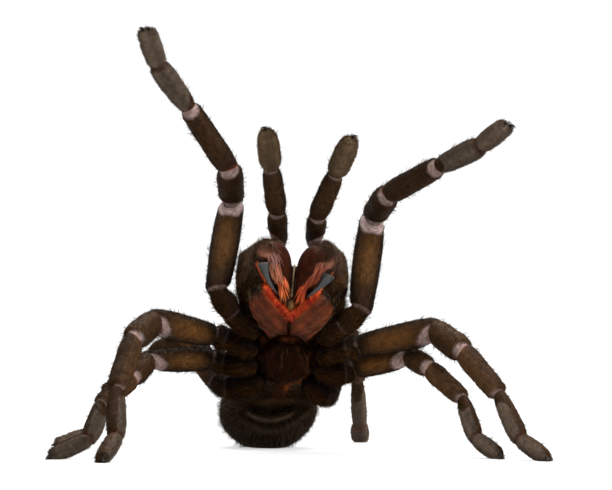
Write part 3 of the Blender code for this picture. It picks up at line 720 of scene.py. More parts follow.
class Chain:
    """Joint points of a limb, with a frame carried along it without twist."""

    def __init__(self, points, dorsal_segment, dorsal):
        joints = [Vector(p) for p in points]
        count = len(joints) - 1
        along = [(joints[i + 1] - joints[i]).normalized() for i in range(count)]
        mitre = [along[0]]
        for i in range(1, count):
            mitre.append((along[i - 1] + along[i]).normalized())
        mitre.append(along[-1])
        back = [None] * count
        facing = Vector(dorsal)
        first = along[dorsal_segment]
        back[dorsal_segment] = (facing - first * facing.dot(first)).normalized()
        for i in range(dorsal_segment + 1, count):
            back[i] = along[i - 1].rotation_difference(along[i]) @ back[i - 1]
        for i in range(dorsal_segment - 1, -1, -1):
            back[i] = along[i + 1].rotation_difference(along[i]) @ back[i + 1]
        self.points = np.array(points, float)
        self.along = np.array(along, float)
        self.mitre = np.array(mitre, float)
        self.back = np.array(back, float)
        self.length = np.linalg.norm(np.diff(self.points, axis=0), axis=1)
        self.start = np.concatenate([[0.0], np.cumsum(self.length)])

    def rows(self, membranes):
        """Distances along the limb, closer together where the joint skin folds."""
        total = self.start[-1]
        rows = [np.arange(0.0, total, ROW_STEP)]
        for joint, (before, after, *_) in membranes.items():
            middle = self.start[joint]
            low, high = middle - before - FOLD_MARGIN, middle + after + FOLD_MARGIN
            rows.append(np.arange(low, high, FOLD_STEP))
        rows.append(total - np.array(TIP_ROWS))
        rows = np.unique(np.clip(np.concatenate(rows), 0.0, total))
        keep = np.concatenate([[True], np.diff(rows) > LEAST_STEP])
        keep[-1] = True
        return rows[keep]

    def lean(self, segment):
        """Angle from a segment's underside to the animal's front, at most 1 either way."""
        up = self.back[segment]
        side = np.cross(self.along[segment], up)
        turn = wrapped(math.atan2(-up[1], -side[1]) + 0.5 * math.pi)
        return float(np.clip(turn, -1.0, 1.0))

    def segment(self, u):
        """Segment number at each distance along the limb."""
        return np.clip(np.searchsorted(self.start, u, side="right") - 1, 0, len(self.length) - 1)

    def rings(self, u, width, height, turn, relief):
        """Rings round the limb at distances u, of half width and half height.

        A point is the middle plus side times width cos a plus back times height sin a, slid
        along the limb until the ring lies in a plane that leans to the joints' mitre planes.
        """
        s = self.segment(u)
        d = u - self.start[s]
        along = self.along[s]
        back = self.back[s]
        side = np.cross(along, back)
        up = back * np.cos(turn)[:, None] + side * np.sin(turn)[:, None]
        side = np.cross(along, up)
        reach = np.minimum(MITRE_REACH * np.maximum(width, height), self.length[s] - 2 * GAP)
        near = 1.0 - np.clip((d - GAP) / reach, 0.0, 1.0)
        far = 1.0 - np.clip((self.length[s] - d - GAP) / reach, 0.0, 1.0)
        lean = along + (self.mitre[s] - along) * near[:, None]
        lean = lean + (self.mitre[s + 1] - along) * far[:, None]
        arm = side[:, None] * (width[:, None] * np.cos(LIMB_ANGLES) * relief)[..., None]
        arm = arm + up[:, None] * (height[:, None] * np.sin(LIMB_ANGLES) * relief)[..., None]
        slide = np.einsum("rci,ri->rc", arm, lean) / np.sum(along * lean, axis=-1)[:, None]
        middle = self.points[s] + along * d[:, None]
        return middle[:, None] + arm - along[:, None] * slide[..., None]


def stands(name):
    """Whether a leg stands on the floor."""
    return not name.startswith("1")


def leg_points(hip, path, standing):
    """Joint points of a leg or palp from its hip to the tip of its tarsus."""
    points = [body_point(*p) for p in hip]
    for index, (azimuth, elevation, length) in enumerate(path):
        if standing and index == len(path) - 1:
            elevation = math.degrees(math.asin((TIP_LEVEL - points[-1][2]) / length))
        points.append(points[-1] + heading(azimuth, elevation) * length)
    return points


def knee_back(points, knee):
    """The side on which a knee is convex."""
    return unit(points[knee] - points[knee - 1]) - unit(points[knee + 1] - points[knee])


def leg_chain(name):
    """The chain of one leg and the turn of its rings from the coxa's frame to its own."""
    hip, path = LEGS[name]
    points = leg_points(hip, path, stands(name))
    chain = Chain(points, 2, knee_back(points, 3))
    hip_back = Chain(points, 0, DORSAL).back[1]
    side = np.cross(chain.along[1], chain.back[1])
    chain.hip_turn = math.atan2(hip_back @ side, hip_back @ chain.back[1])
    return chain


def palp_chain(side):
    """The chain of one palp from its trochanter, its femur bowed out round the jaw."""
    hip, path, bow = PALPS[side]
    points = leg_points(hip, path, False)
    points.insert(2, 0.5 * (points[1] + points[2]) + LATERAL * bow + DORSAL * 0.9)
    chain = Chain(points, 2, knee_back(points, 3))
    chain.hip_turn = 0.0
    return chain


def segment_stations(chain, segment, widths, flat, groove):
    """Places of one segment: collar, swelling, belly, swelling, collar and the joint's groove."""
    start = chain.start[segment]
    length = chain.length[segment]
    base, middle, tail = widths
    table = (
        (0.45, 0.88 * base),
        (0.16 * length, base),
        (0.50 * length, middle),
        (0.84 * length, tail),
        (length - 0.45, 0.89 * tail),
        (length, groove),
    )
    return [(start + d, w, w * flat) for d, w in table]


def leg_stations(chain, pair):
    """Distance, half width and half height at the places that set a leg's form."""
    femur, patella, tibia, metatarsus, tarsus = LEG_WIDTH[pair]
    hip, ring = chain.length[0], chain.length[1]
    rows = [(0.0, 1.1, 1.5), (0.5, 1.4, COXA_HALF_HEIGHT), (hip - 1.0, 2.0, COXA_HALF_HEIGHT)]
    rows += [(hip, 1.75, 1.75), (hip + 0.5 * ring, 1.98, 1.93), (hip + ring, 1.6, 1.6)]
    shank = (0.88 * metatarsus, metatarsus, metatarsus)
    rows += segment_stations(chain, 2, femur, 1.05, 0.80 * patella)
    rows += segment_stations(chain, 3, (0.95 * patella, patella, patella), 1.0, 0.82 * tibia)
    rows += segment_stations(chain, 4, (tibia, tibia, 0.96 * tibia), 1.0, 0.74 * metatarsus)
    rows += segment_stations(chain, 5, shank, 0.95, 0.74 * tarsus)
    start, length = chain.start[6], chain.length[6]
    rows += [
        (start + 0.45, 0.86 * tarsus, 0.79 * tarsus),
        (start + 0.28 * length, tarsus, 0.85 * tarsus),
        (start + 0.72 * length, tarsus, 0.82 * tarsus),
        (start + 0.93 * length, 0.84 * tarsus, 0.62 * tarsus),
        (start + length - 0.08, 0.52 * tarsus, 0.36 * tarsus),
        (start + length, 0.20 * tarsus, 0.16 * tarsus),
    ]
    return np.array(rows)


def palp_stations(chain):
    """Distance, half width and half height at the places that set a palp's form."""
    femur, patella, tibia, club = PALP_WIDTH
    first, second = chain.start[1], chain.start[2]
    rows = [(0.0, 1.3, 1.3), (0.5 * first, 1.5, 1.5), (first, 1.32, 1.36)]
    rows += [
        (first + 0.3 * chain.length[1], 0.88 * femur, 0.92 * femur),
        (second, femur, femur),
        (second + 0.72 * chain.length[2], 0.91 * femur, 0.89 * femur),
        (second + chain.length[2], 0.80 * patella, 0.80 * patella),
    ]
    rows += segment_stations(chain, 3, (0.95 * patella, patella, patella), 1.0, 0.82 * tibia)
    rows += segment_stations(chain, 4, (tibia, tibia, 0.95 * tibia), 1.0, 0.70 * club)
    start, length = chain.start[5], chain.length[5]
    rows += [
        (start + 0.16 * length, 0.92 * club, 0.90 * club),
        (start + 0.45 * length, club, 0.95 * club),
        (start + 0.75 * length, 0.95 * club, 0.88 * club),
        (start + 0.93 * length, 0.70 * club, 0.62 * club),
        (start + length - 0.06, 0.32 * club, 0.28 * club),
        (start + length, 0.12 * club, 0.10 * club),
    ]
    return np.array(rows)


def membrane_cover(chain, u, membranes):
    """Where a limb is bare, and how deep, pale, rimmed and folded its joint skin is there.

    The bare skin reaches from a joint by its before and after lengths times the share by which
    a place faces down, so that it narrows to a slit over the back.
    """
    size = (len(u), LIMB_COLUMNS)
    bare, sunk, pale, rim, fold = (np.zeros(size) for _ in range(5))
    sway = 0.35 * np.sin(3.0 * LIMB_ANGLES)[None]
    for joint, (before, after, soft, depth, folds, light, swing) in membranes.items():
        down = -np.sin(LIMB_ANGLES - swing * chain.lean(joint - 1))
        share = np.clip((down + 0.55) / 1.45, 0.0, 1.0)[None]
        x = (u - chain.start[joint])[:, None]
        low = -(0.14 + before * share**1.3)
        high = 0.14 + after * share**1.3
        start = smooth((x - low) / (0.22 + soft * share))
        cover = start * smooth((high - x) / 0.2 + 0.5)
        bare = np.maximum(bare, smooth(2.2 * cover))
        sunk = np.maximum(sunk, cover * depth * (0.4 + 0.6 * share))
        pale = np.maximum(pale, cover * light * smooth(3.0 * share))
        ragged = 0.55 + 0.45 * np.sin(2.0 * LIMB_ANGLES + 1.9 * joint)[None]
        stripe = bell((x - high) / 0.26) * smooth(1.6 * light - 0.6)
        rim = np.maximum(rim, stripe * smooth(2.0 * share) * ragged)
        phase = folds * (x - low) / np.maximum(high - low, 0.4) + sway
        ripple = np.sin(2 * math.pi * phase)
        fold = np.where(cover > 0.02, ripple * cover * smooth(2.5 * share), fold)
    return bare, sunk, pale, rim, fold


# Darkest and lightest streak along a limb
STREAK_RANGE = (0.82, 1.18)


def streaks(rows, cols, seed):
    """Faint streaks along a limb: two sets of random values for each column, mixed along it."""
    rng = np.random.default_rng(seed)
    one, two = rng.uniform(*STREAK_RANGE, (2, cols))
    share = 0.5 + 0.5 * np.sin(np.arange(rows)[:, None] * 0.11 + 2 * math.pi * one[None])
    return one[None] * share + two[None] * (1 - share)


# Painted light: how much lighter or darker than their colours some legs are, and each kind of
# segment on standing and on raised limbs, as the light falls on them. The legs on the animal's
# left are painted lighter than those on its right, and the arm's factor is a painted sheen
LEG_PAINTED_LIGHT = {"4_left": 1.15, "3_left": 1.4, "2_left": 1.1, "2_right": 0.88, "3_right": 0.9}
STANDING_PAINTED_LIGHT = {"femur": 1.15, "patella": 1.40, "tibia": 1.45, "metatarsus": 1.05, "tarsus": 1.10}
RAISED_PAINTED_LIGHT = {
    "femur": 0.82, "patella": 1.25, "tibia": 0.76, "tarsus": 1.2, "club": 1.25, "arm": 1.7,
}

# Factors that turn the pad hair's colour into that of the palps
PALP_PAD = np.array([0.80, 0.72, 0.54])

# Share of the coxa's dark colour on the parts next to the body
HIP_SHARE = {"coxa": 1.0, "hip": 0.5, "arm": 0.40}


def hip_crest():
    """How near each place round a limb is to the crest of its underside at the hip."""
    turn = (LIMB_ANGLES - 0.5 * math.pi) % (2 * math.pi) - math.pi
    return bell(turn / 0.62)[None]


def limb_tint(chain, u, kinds, under, pale, rim, fold, seed, standing):
    """Colours of a limb by segment: brown, amber middle of the femur, velvet, pad hair.

    kinds names the kind of each segment. The pad hair starts part way down the metatarsus
    along a curved edge on the underside, and covers the underside of the tarsus.
    """
    c = palette()
    s = chain.segment(u)
    t = ((u - chain.start[s]) / chain.length[s])[:, None] + np.zeros_like(under)
    kind = np.array(kinds)[s][:, None]
    femur, tibia, metatarsus = kind == "femur", kind == "tibia", kind == "metatarsus"
    tarsus, club = kind == "tarsus", kind == "club"
    painted_light_gains = STANDING_PAINTED_LIGHT if standing else RAISED_PAINTED_LIGHT
    gain = np.array([painted_light_gains.get(name, 1.0) for name in kinds])[s]
    share = np.array([HIP_SHARE.get(name, 0.0) for name in kinds])[s][:, None, None]
    angle = LIMB_ANGLES[None] + np.zeros_like(under)
    belly = wrapped(angle - 1.5 * math.pi - 0.9 * chain.lean(2))

    # Ground colours
    # Painted highlight and shade on the coxae and the parts next to them: lighter along the crest
    # of the underside, darker at its sides
    crest = 0.35 + 2.3 * hip_crest() * (0.5 + 0.5 * bell((t - 0.6) / 0.4))
    tint = np.zeros(under.shape + (3,)) + c.brown
    tint = tint * (1 - share) + c.coxa * crest[..., None] * share
    middle = bell((t - 0.5) / 0.36) * bell(belly / 0.66)
    tint = blend(tint, c.amber, middle * femur)
    # Painted shade: femur and tibia darker on the sides that turn away from the front of the
    # underside, and the femur darker toward its base
    shade = 0.55 * (femur + 0.6 * tibia) * smooth((np.abs(belly) - 0.70) / 0.5)
    shade = shade + 0.45 * femur * smooth((0.34 - t) / 0.3)
    tint = tint * (1.0 - np.minimum(shade, 0.7))[..., None]
    tint = blend(tint, c.velvet, 0.7 * tibia * smooth(0.2 + under))
    tint = blend(tint, c.amber, 0.25 * middle * tibia)

    # Pad hair
    edge = (0.30 if standing else 0.13) + 0.10 * np.cos(2.0 * angle + 0.8 * seed)
    pad = smooth((t - edge) / 0.05) * metatarsus
    pad = np.maximum(pad, (tarsus | club) * smooth((t - 0.05) / 0.06))
    pad = pad * smooth((under - 0.08) / 0.22)
    # Painted sheen: the pad hair lighter round one side of the underside, darker away from it
    painted_sheen = 0.78 + 0.50 * smooth((0.9 - np.abs(belly - 0.35)) / 0.9)
    velvet = blend(c.pad, c.pad * PALP_PAD, club * np.ones_like(pad))
    tint = blend(tint, velvet, 0.95 * pad) * (1.0 + pad * (painted_sheen - 1.0))[..., None]
    tint = blend(tint, c.velvet, 0.5 * tarsus * (1 - pad))
    joint = tarsus * bell(t / 0.10) + metatarsus * bell((1.0 - t) / 0.05)
    tint = blend(tint, c.rim * 0.16, 0.55 * np.clip(joint, 0.0, 1.0))
    # Painted light: each kind of segment lighter or darker by its factor
    tint = tint * gain[:, None, None]
    streak = streaks(len(u), under.shape[1], int(100 * seed) + 7) - 1.0
    tint = tint * (1.0 + (1.0 - 0.75 * pad) * streak)[..., None]

    # Joint skin
    # Painted shade in the creases: the troughs of the joint skin's folds darker and pinker
    crease = 0.75 * smooth(3.0 * pale - 0.6) * smooth(-1.3 * fold - 0.35)
    tint = paint(
        tint,
        (c.seam, np.minimum(2.0 * pale, 1.0) * (pale < 0.4)),
        (c.membrane, pale),
        (c.flush * 0.9, crease),
        (c.rim, 0.75 * rim),
    )
    return tint, pad


def limb_skin(chain, stations, membranes, kinds, seed, standing):
    """Skin of one limb from its hip to its tip, with folded joint skin."""
    sizes = bpy.context.scene.tarantula_sizes
    u = chain.rows(membranes)
    form = through(stations[:, 0], stations[:, 1:], u)
    inset = sizes.coat_depth / MM
    width = np.maximum(form[:, 0] - inset, LEAST_WIDTH)
    height = np.maximum(form[:, 1] - inset, LEAST_WIDTH)
    down = -np.sin(LIMB_ANGLES - 0.4 * chain.lean(len(chain.length) - 1))
    under = smooth((down + 0.25) / 0.95)[None] + np.zeros((len(u), LIMB_COLUMNS))
    bare, sunk, pale, rim, fold = membrane_cover(chain, u, membranes)
    relief = 1.0 - sunk + fold * (sizes.fold_height / MM) / height[:, None]
    turn = chain.hip_turn * (1.0 - smooth((u - chain.start[1]) / max(chain.length[1], 0.1)))
    points = chain.rings(u, width, height, turn, relief)
    if standing:
        points[..., 2] = np.maximum(points[..., 2], LOWEST_SKIN)
    tint, pad = limb_tint(chain, u, kinds, under, pale, rim, fold, seed, standing)
    end = smooth((u - chain.start[-1] + 1.0) / 0.5)
    return Skin(
        points,
        tint,
        fur=(1.0 - bare) * (1.0 - 0.85 * pad),
        pad=pad,
        kind=np.array(kinds)[chain.segment(u)],
        tip=end[:, None] * np.abs(np.cos(LIMB_ANGLES))[None],
    )


LEG_KINDS = ("coxa", "hip", "femur", "patella", "tibia", "metatarsus", "tarsus")
PALP_KINDS = ("coxa", "arm", "arm", "patella", "tibia", "club")


class TARANTULA_OT_legs(bpy.types.Operator):
    """Eight legs, each one skin from coxa to tarsus with folded joint skin."""

    bl_idname = "tarantula.legs"
    bl_label = "Legs"

    def execute(self, context):
        for index, name in enumerate(LEGS):
            chain = CHAINS["leg_" + name] = leg_chain(name)
            standing = stands(name)
            membranes = LEG_MEMBRANES if standing else FRONT_LEG_MEMBRANES
            stations = leg_stations(chain, int(name[0]))
            skin = limb_skin(chain, stations, membranes, LEG_KINDS, 1.7 * index, standing)
            # Painted light: some legs lighter or darker than their colours
            skin.tint = skin.tint * LEG_PAINTED_LIGHT.get(name, 1.0)
            nodes = ["leg_" + name + "_" + part for part in ("coxa", "femur", "shin", "foot")]
            add_skin("leg_" + name, skin, "limb_skin", nodes)
        return {"FINISHED"}


class TARANTULA_OT_palps(bpy.types.Operator):
    """Two palps, each one skin from trochanter to tarsus."""

    bl_idname = "tarantula.palps"
    bl_label = "Palps"

    def execute(self, context):
        for index, side in enumerate(PALPS):
            chain = CHAINS["palp_" + side] = palp_chain(side)
            stations = palp_stations(chain)
            skin = limb_skin(chain, stations, PALP_MEMBRANES, PALP_KINDS, 0.9 * index, False)
            nodes = ["palp_" + side + "_" + part for part in ("femur", "shin", "tarsus")]
            add_skin("palp_" + side, skin, "limb_skin", nodes)
        return {"FINISHED"}


# Rows of a plate are spaced as if its outline were this much wider than it is high, and its
# outline's scale stays between these
PLATE_SPREAD = np.array([3.0, 1.0])
PLATE_SCALES = (0.004, 1.02)


def pebble(outline, centre, profile, rows, cols):
    """Plate like a flat stone: its outline shrunk to its centre by a scale, at the level beside it.

    profile is rows of (scale, level) from the middle of the underside to the middle of the top.
    """
    profile = np.array(profile)
    steps = np.linalg.norm(np.diff(profile * PLATE_SPREAD, axis=0), axis=1)
    knots = np.concatenate([[0.0], np.cumsum(steps)])
    form = through(knots, profile, np.linspace(0, knots[-1], rows))
    edge = closed_curve(outline, cols)
    scale = np.clip(form[:, 0], *PLATE_SCALES)[:, None]
    x = centre[0] + (edge[None, :, 0] - centre[0]) * scale
    y = centre[1] + (edge[None, :, 1] - centre[1]) * scale
    z = form[:, 1][:, None] + np.zeros_like(x)
    return x, y, z


# Carapace: station y and half width, then station y and height of the top
CARAPACE_WIDTHS = (
    (-8.0, 3.6), (-7.2, 5.2), (-5.5, 7.2), (-2.5, 8.4), (0.5, 8.5),
    (3.5, 7.8), (6.0, 6.4), (8.5, 5.6), (11.0, 5.1), (12.0, 4.6),
)
CARAPACE_HEIGHTS = (
    (-8.0, 0.7), (-6.5, 1.9), (-4.5, 2.9), (-3.2, 3.5), (-2.5, 3.3), (-1.8, 3.6),
    (1.0, 4.1), (4.0, 5.1), (7.0, 5.8), (9.5, 6.0), (11.3, 5.8), (12.0, 5.2),
)
CARAPACE_REAR = -8.0
CARAPACE_FRONT = 12.0

# Grooves of the carapace: bearing from its pit and depth
CARAPACE_GROOVES = ((0.62, 0.32), (1.25, 0.16), (1.75, 0.16), (2.25, 0.16), (2.75, 0.12))


def carapace_skin():
    """Dome over the front body: at station y, x is half width times cos a and z rises as sin a.

    Grooves run out from the pit in its middle, and the eye mound rises near its front.
    """
    c = palette()
    y = np.linspace(CARAPACE_REAR, CARAPACE_FRONT, 130)
    half = through(*zip(*CARAPACE_WIDTHS), y)
    top = through(*zip(*CARAPACE_HEIGHTS), y)
    rear = smooth((y - CARAPACE_REAR) / 0.5) * 0.5 + 0.5
    ends = np.minimum(rear, smooth((CARAPACE_FRONT - y) / 0.5) * 0.4 + 0.6)
    angle = turns(120)
    rise = np.where(np.sin(angle) > 0, np.abs(np.sin(angle)) ** 0.8, 0.0)
    drop = np.where(np.sin(angle) < 0, -np.sin(angle), 0.0)
    x = (half * ends)[:, None] * np.cos(angle)[None]
    y = y[:, None] + np.zeros_like(x)
    floor = CARAPACE_FLOOR + 0.6 * smooth((-5.5 - y) / 2.0)
    arch = (top[:, None] - 0.5) * rise[None] * (0.5 + 0.5 * ends[:, None])
    z = floor + 0.5 + arch - 0.5 * drop[None]
    over = smooth(rise * 3)[None]
    dist = np.hypot(x, y - FOVEA_Y)
    bearing = np.arctan2(np.abs(x), y - FOVEA_Y)
    groove = np.zeros_like(x)
    for spoke, depth in CARAPACE_GROOVES:
        groove += depth * bell((bearing - spoke) * dist / 0.42) * smooth((dist - 0.8) / 1.4)
    groove *= smooth((7.6 - np.abs(x)) / 3.0) * smooth((9.0 - dist) / 3.0)
    pit = 0.42 * bell(x / 1.25) * bell((y - FOVEA_Y) / 0.32)
    mound = 0.75 * smooth(1.75 - 1.35 * np.hypot(x / 2.3, (y - EYE_ROW_Y) / 1.35))
    z = z - (groove + pit) * over + mound * over * (rise[None] > 0.5)
    points = body_point(x, y, z - 0.08)
    # Painted shade in the grooves and the pit
    dark = np.clip(2.0 * groove + 1.2 * pit, 0, 1) * over
    tint = blend(even_tint(points, c.carapace), c.coxa, 0.75 * dark)
    margin = smooth((np.abs(x) / np.maximum(half[:, None], 0.1) - 0.82) / 0.15)
    tint = blend(tint, c.velvet, 0.35 * margin * over)
    away = x[..., None] * LATERAL + ((y - FOVEA_Y) * 0.4 - 3.0)[..., None] * FORWARD
    return Skin(points, tint, away, over)


# Sternum: half width, half length and y of its middle, profile and pits' x and y
STERNUM_HALF_WIDTH = 3.45
STERNUM_HALF_LENGTH = 4.05
STERNUM_Y = -0.5
STERNUM_PROFILE = (
    (0, -0.32), (0.35, -0.27), (0.66, -0.12), (0.9, 0.12),
    (1.0, 0.65), (1.0, 2.6), (0.93, 3.15), (0, 3.2),
)
STERNUM_PITS = ((2.1, 1.4), (2.45, -0.2), (1.6, -1.8))


def sternum_skin():
    """Shield-shaped plate, domed on the underside, with three pairs of shallow pits."""
    c = palette()
    angle = turns(24)
    ahead = np.sin(angle)
    ahead = np.where(ahead > 0, 0.97 * np.abs(ahead) ** 0.95, ahead)
    x = STERNUM_HALF_WIDTH * np.cos(angle) * (1.0 - 0.08 * np.maximum(0.0, -ahead) ** 2)
    outline = np.stack([x, STERNUM_Y + STERNUM_HALF_LENGTH * ahead], axis=-1)
    x, y, z = pebble(outline, (0.0, STERNUM_Y), STERNUM_PROFILE, 60, 84)
    dots = np.zeros_like(x)
    for place_x, place_y in STERNUM_PITS:
        dots += bell(np.hypot(np.abs(x) - place_x, (y - place_y) * 0.7) / 0.26) * (z < 0.6)
    points = body_point(x, y, z + 0.14 * dots)
    tint = even_tint(points, c.sternum)
    patches = np.sin(1.9 * x + 1.1) * np.sin(1.6 * y - 0.6) * 0.5 + 0.5
    tint = tint * (0.55 + 0.75 * patches)[..., None]
    out = np.hypot(x / STERNUM_HALF_WIDTH, (y - STERNUM_Y) / STERNUM_HALF_LENGTH)
    rust = smooth((np.abs(x) - 2.85) / 0.3) * smooth((1.6 - y) / 0.8) * (0.55 + 0.45 * np.sign(x))
    tint = paint(
        tint,
        # Painted shade: darker toward the rim, where the plate meets the coxae
        (c.coxa, 0.6 * smooth((out - 0.84) / 0.12)),
        (c.maxilla * 0.9, 0.6 * dots),
        (c.seam, 0.8 * rust * (z > -0.1)),
    )
    return Skin(points, tint, -FORWARD, z < 0.9)


# Labium: outline x and y, and profile
LABIUM_OUTLINE = (
    (-1.4, 3.85), (0, 3.8), (1.4, 3.85), (1.35, 4.45),
    (0.95, 4.95), (0.0, 5.15), (-0.95, 4.95), (-1.35, 4.45),
)
LABIUM_PROFILE = (
    (0, -0.42), (0.5, -0.36), (0.86, -0.12), (1.0, 0.35), (1.0, 2.1), (0.9, 2.5), (0, 2.6),
)


def labium_skin():
    """Small plate before the sternum, with a warty front edge."""
    c = palette()
    x, y, z = pebble(LABIUM_OUTLINE, (0.0, 4.45), LABIUM_PROFILE, 44, 64)
    warts = np.sin(7.5 * x + 1.3 * np.sin(3 * y)) * np.sin(8.0 * y)
    z = z - 0.07 * np.maximum(warts, 0.0) * smooth((y - 4.3) / 0.3) * (z < 0.4)
    points = body_point(x, y, z)
    brown = 0.15 + 0.55 * smooth((y - 4.2) / 0.5)
    return Skin(points, blend(even_tint(points, c.coxa), c.maxilla, brown), FORWARD, z < 0.5)


# Maxilla: outline x and y, profile, and how much brighter the left one is, as painted light
MAXILLA_LEFT_PAINTED_LIGHT = 1.25
MAXILLA_OUTLINE = (
    (2.1, 4.6), (2.85, 4.4), (3.6, 5.3), (4.8, 7.0), (5.9, 8.8),
    (6.4, 10.4), (6.25, 11.9), (5.5, 13.1), (4.3, 13.7), (2.9, 12.1),
    (1.4, 10.3), (0.12, 8.9), (0.08, 7.2), (0.12, 5.55), (1.25, 5.4),
)
MAXILLA_PROFILE = (
    (0, -0.80), (0.35, -0.76), (0.66, -0.62), (0.9, -0.38),
    (0.99, 0.15), (0.99, 1.75), (0.9, 2.2), (0, 2.25),
)


def maxilla_skin(sign):
    """Oblique plate beside the mouth, gently domed, with a dull keel along its middle."""
    c = palette()
    x, y, z = pebble(MAXILLA_OUTLINE, (3.4, 9.4), MAXILLA_PROFILE, 64, 110)
    # Distances along the plate from its hind end, beside its middle, and in from the mouth
    along = ((x - 1.3) * 0.62 + (y - 6.5) * 0.78) / 8.5
    beside = (x - 1.3) * 0.78 - (y - 6.5) * 0.62
    inward = (x - 0.55) * 0.78 - (y - 8.75) * 0.62
    z = z - 0.18 * bell((beside - 0.2) / 1.1) * (z < 0.2)
    points = body_point(sign * x, y, z)
    rim = bell((inward + 0.12) / 0.16) * smooth((y - 8.0) / 0.8) * smooth((14.0 - y) / 0.4)
    corner = smooth((x - 5.5 + 0.9 * (y - 12.2)) / 0.8) * smooth((y - 10.6) / 1.0)
    rays = np.sin(3.1 * beside + 2.2 * along + 0.6 * np.sin(2.3 * y))
    rays = rays * np.sin(1.3 * beside - 4.0 * along)
    # Painted light: the left plate lighter than the right
    tint = even_tint(points, c.maxilla) * (MAXILLA_LEFT_PAINTED_LIGHT if sign > 0 else 1.0)
    tint = paint(
        tint * (1.0 + 0.42 * rays)[..., None],
        # Painted sheen: a grey patch in the middle of the plate
        (c.lip * 0.7, 0.06 * bell((beside - 0.6) / 1.3) * bell((along - 0.5) / 0.3)),
        (c.fringe * 0.3, 0.7 * smooth((0.30 - inward) / 0.5) * smooth((y - 8.0) / 1.5)),
        # Painted shade: darker toward the outer edge and the hind end
        (c.coxa * 1.8, 0.80 * smooth((beside - 2.1) / 1.3)),
        (c.coxa * 1.8, 0.70 * smooth((0.10 - along) / 0.20)),
        (c.brown * 0.6, 0.85 * corner),
        # Painted shade: near-black over the top of the plate, toward the jaws
        (c.mouth, smooth((z - 0.15) / 0.35)),
    )
    lie = FORWARD * 0.75 + LATERAL * (0.55 * sign)
    fur = (z < 0.8) * (0.6 + 0.4 * smooth((beside - 1.0) / 1.4))
    edge = rim * (z < 0.5) * (0.35 + 0.65 * smooth((13.0 - y) / 2.0))
    return Skin(points, tint, lie, fur, edge=edge)


def body_membrane_skin():
    """Soft skin between the plates: a flat egg under the shield that the coxae grow from."""
    c = palette()
    v = np.linspace(0.0, math.pi, 60)[:, None]
    angle = turns(72)
    x = 7.3 * np.sin(v) ** 0.8 * np.cos(angle)
    y = 2.6 - 9.2 * np.cos(v) + np.zeros_like(x)
    z = 2.75 + 1.35 * np.sin(v) ** 0.7 * np.sin(angle)
    points = body_point(x, y, z)
    rust = smooth(np.sin(2.1 * x + 0.7) * np.sin(1.7 * y + 0.4) * 2.0 - 0.4)
    rear = smooth((-3.6 - y) / 0.8)
    tint = paint(
        even_tint(points, c.coxa),
        (c.seam, 0.75 * (rust * smooth((6.0 - y) / 2.0))),
        (c.seam * 2.4, 0.8 * rear * smooth((x - 0.2) / 0.8)),
        # Painted shade: near-black toward the front, by the mouth
        (c.mouth, smooth((y - 6.5) / 2.0)),
    )
    return Skin(points, tint, -FORWARD, 1.0 - 0.75 * rear)


def throat_skin():
    """Hairy flesh that joins the palps and the jaws to the front of the body: near-black painted
    shade, brown at its sides.
    """
    c = palette()
    v = np.linspace(0.0, math.pi, 60)[:, None]
    angle = turns(72)
    x = 8.3 * np.sin(v) ** 0.6 * swell(np.cos(angle), 0.7)
    y = 9.9 - 4.5 * np.cos(v) - 3.2 * bell(x / 1.7) * smooth((-np.cos(v) - 0.2) / 0.6)
    z = 3.3 + 2.1 * np.sin(v) ** 0.6 * np.sin(angle)
    points = body_point(x, y, z)
    beside = smooth((np.abs(x) - 3.8) / 1.0)
    tint = blend(even_tint(points, c.mouth), c.brown * 0.7, beside)
    return Skin(points, tint, FORWARD, beside)


class TARANTULA_OT_front_body(bpy.types.Operator):
    """Shield, sternum, lip, maxillae and the soft skin between them."""

    bl_idname = "tarantula.front_body"
    bl_label = "Front body"

    def execute(self, context):
        add_skin("carapace", carapace_skin(), "plate_skin", ["carapace"])
        add_skin("sternum", sternum_skin(), "plate_skin", ["sternum"])
        add_skin("labium", labium_skin(), "plate_skin", ["labium"])
        add_skin("body_membrane", body_membrane_skin(), "soft_skin")
        add_skin("throat", throat_skin(), "soft_skin")
        for side, sign in SIDES:
            nodes = ["palp_" + side + "_coxa"]
            add_skin("maxilla_" + side, maxilla_skin(sign), "mouth_plate", nodes)
        return {"FINISHED"}


# Chelicera: station y, inner x, outer x, lower z and upper z
CHELICERA_STATIONS = (
    (12.2, 2.0, 3.0, 5.2, 6.2),
    (12.35, 0.35, 4.5, 2.8, 8.3),
    (12.9, 0.30, 5.2, 2.6, 8.9),
    (14.0, 0.35, 5.8, 1.6, 9.1),
    (15.6, 0.55, 6.2, 1.4, 8.7),
    (17.2, 1.05, 6.3, 1.7, 7.8),
    (18.5, 1.75, 6.1, 2.1, 6.6),
    (19.4, 2.45, 5.7, 2.3, 5.4),
    (19.9, 3.10, 5.1, 2.7, 4.4),
    (20.1, 3.9, 4.3, 3.3, 3.8),
)

# Fang: middle line x, y, z and radius. The left fang is drawn further into its socket
FANG_STATIONS = {
    "right": (
        (4.75, 18.5, 0.90, 1.02),
        (4.62, 18.0, 0.50, 0.84),
        (4.28, 17.2, -0.05, 0.54),
        (3.78, 16.2, -0.45, 0.36),
        (3.05, 15.1, -0.70, 0.23),
        (2.20, 13.9, -0.75, 0.06),
    ),
    "left": (
        (5.35, 17.4, 0.60, 1.05),
        (5.18, 17.0, 0.20, 0.88),
        (4.70, 16.4, -0.15, 0.60),
        (4.05, 15.6, -0.45, 0.40),
        (3.18, 14.7, -0.70, 0.25),
        (2.35, 13.7, -0.75, 0.06),
    ),
}


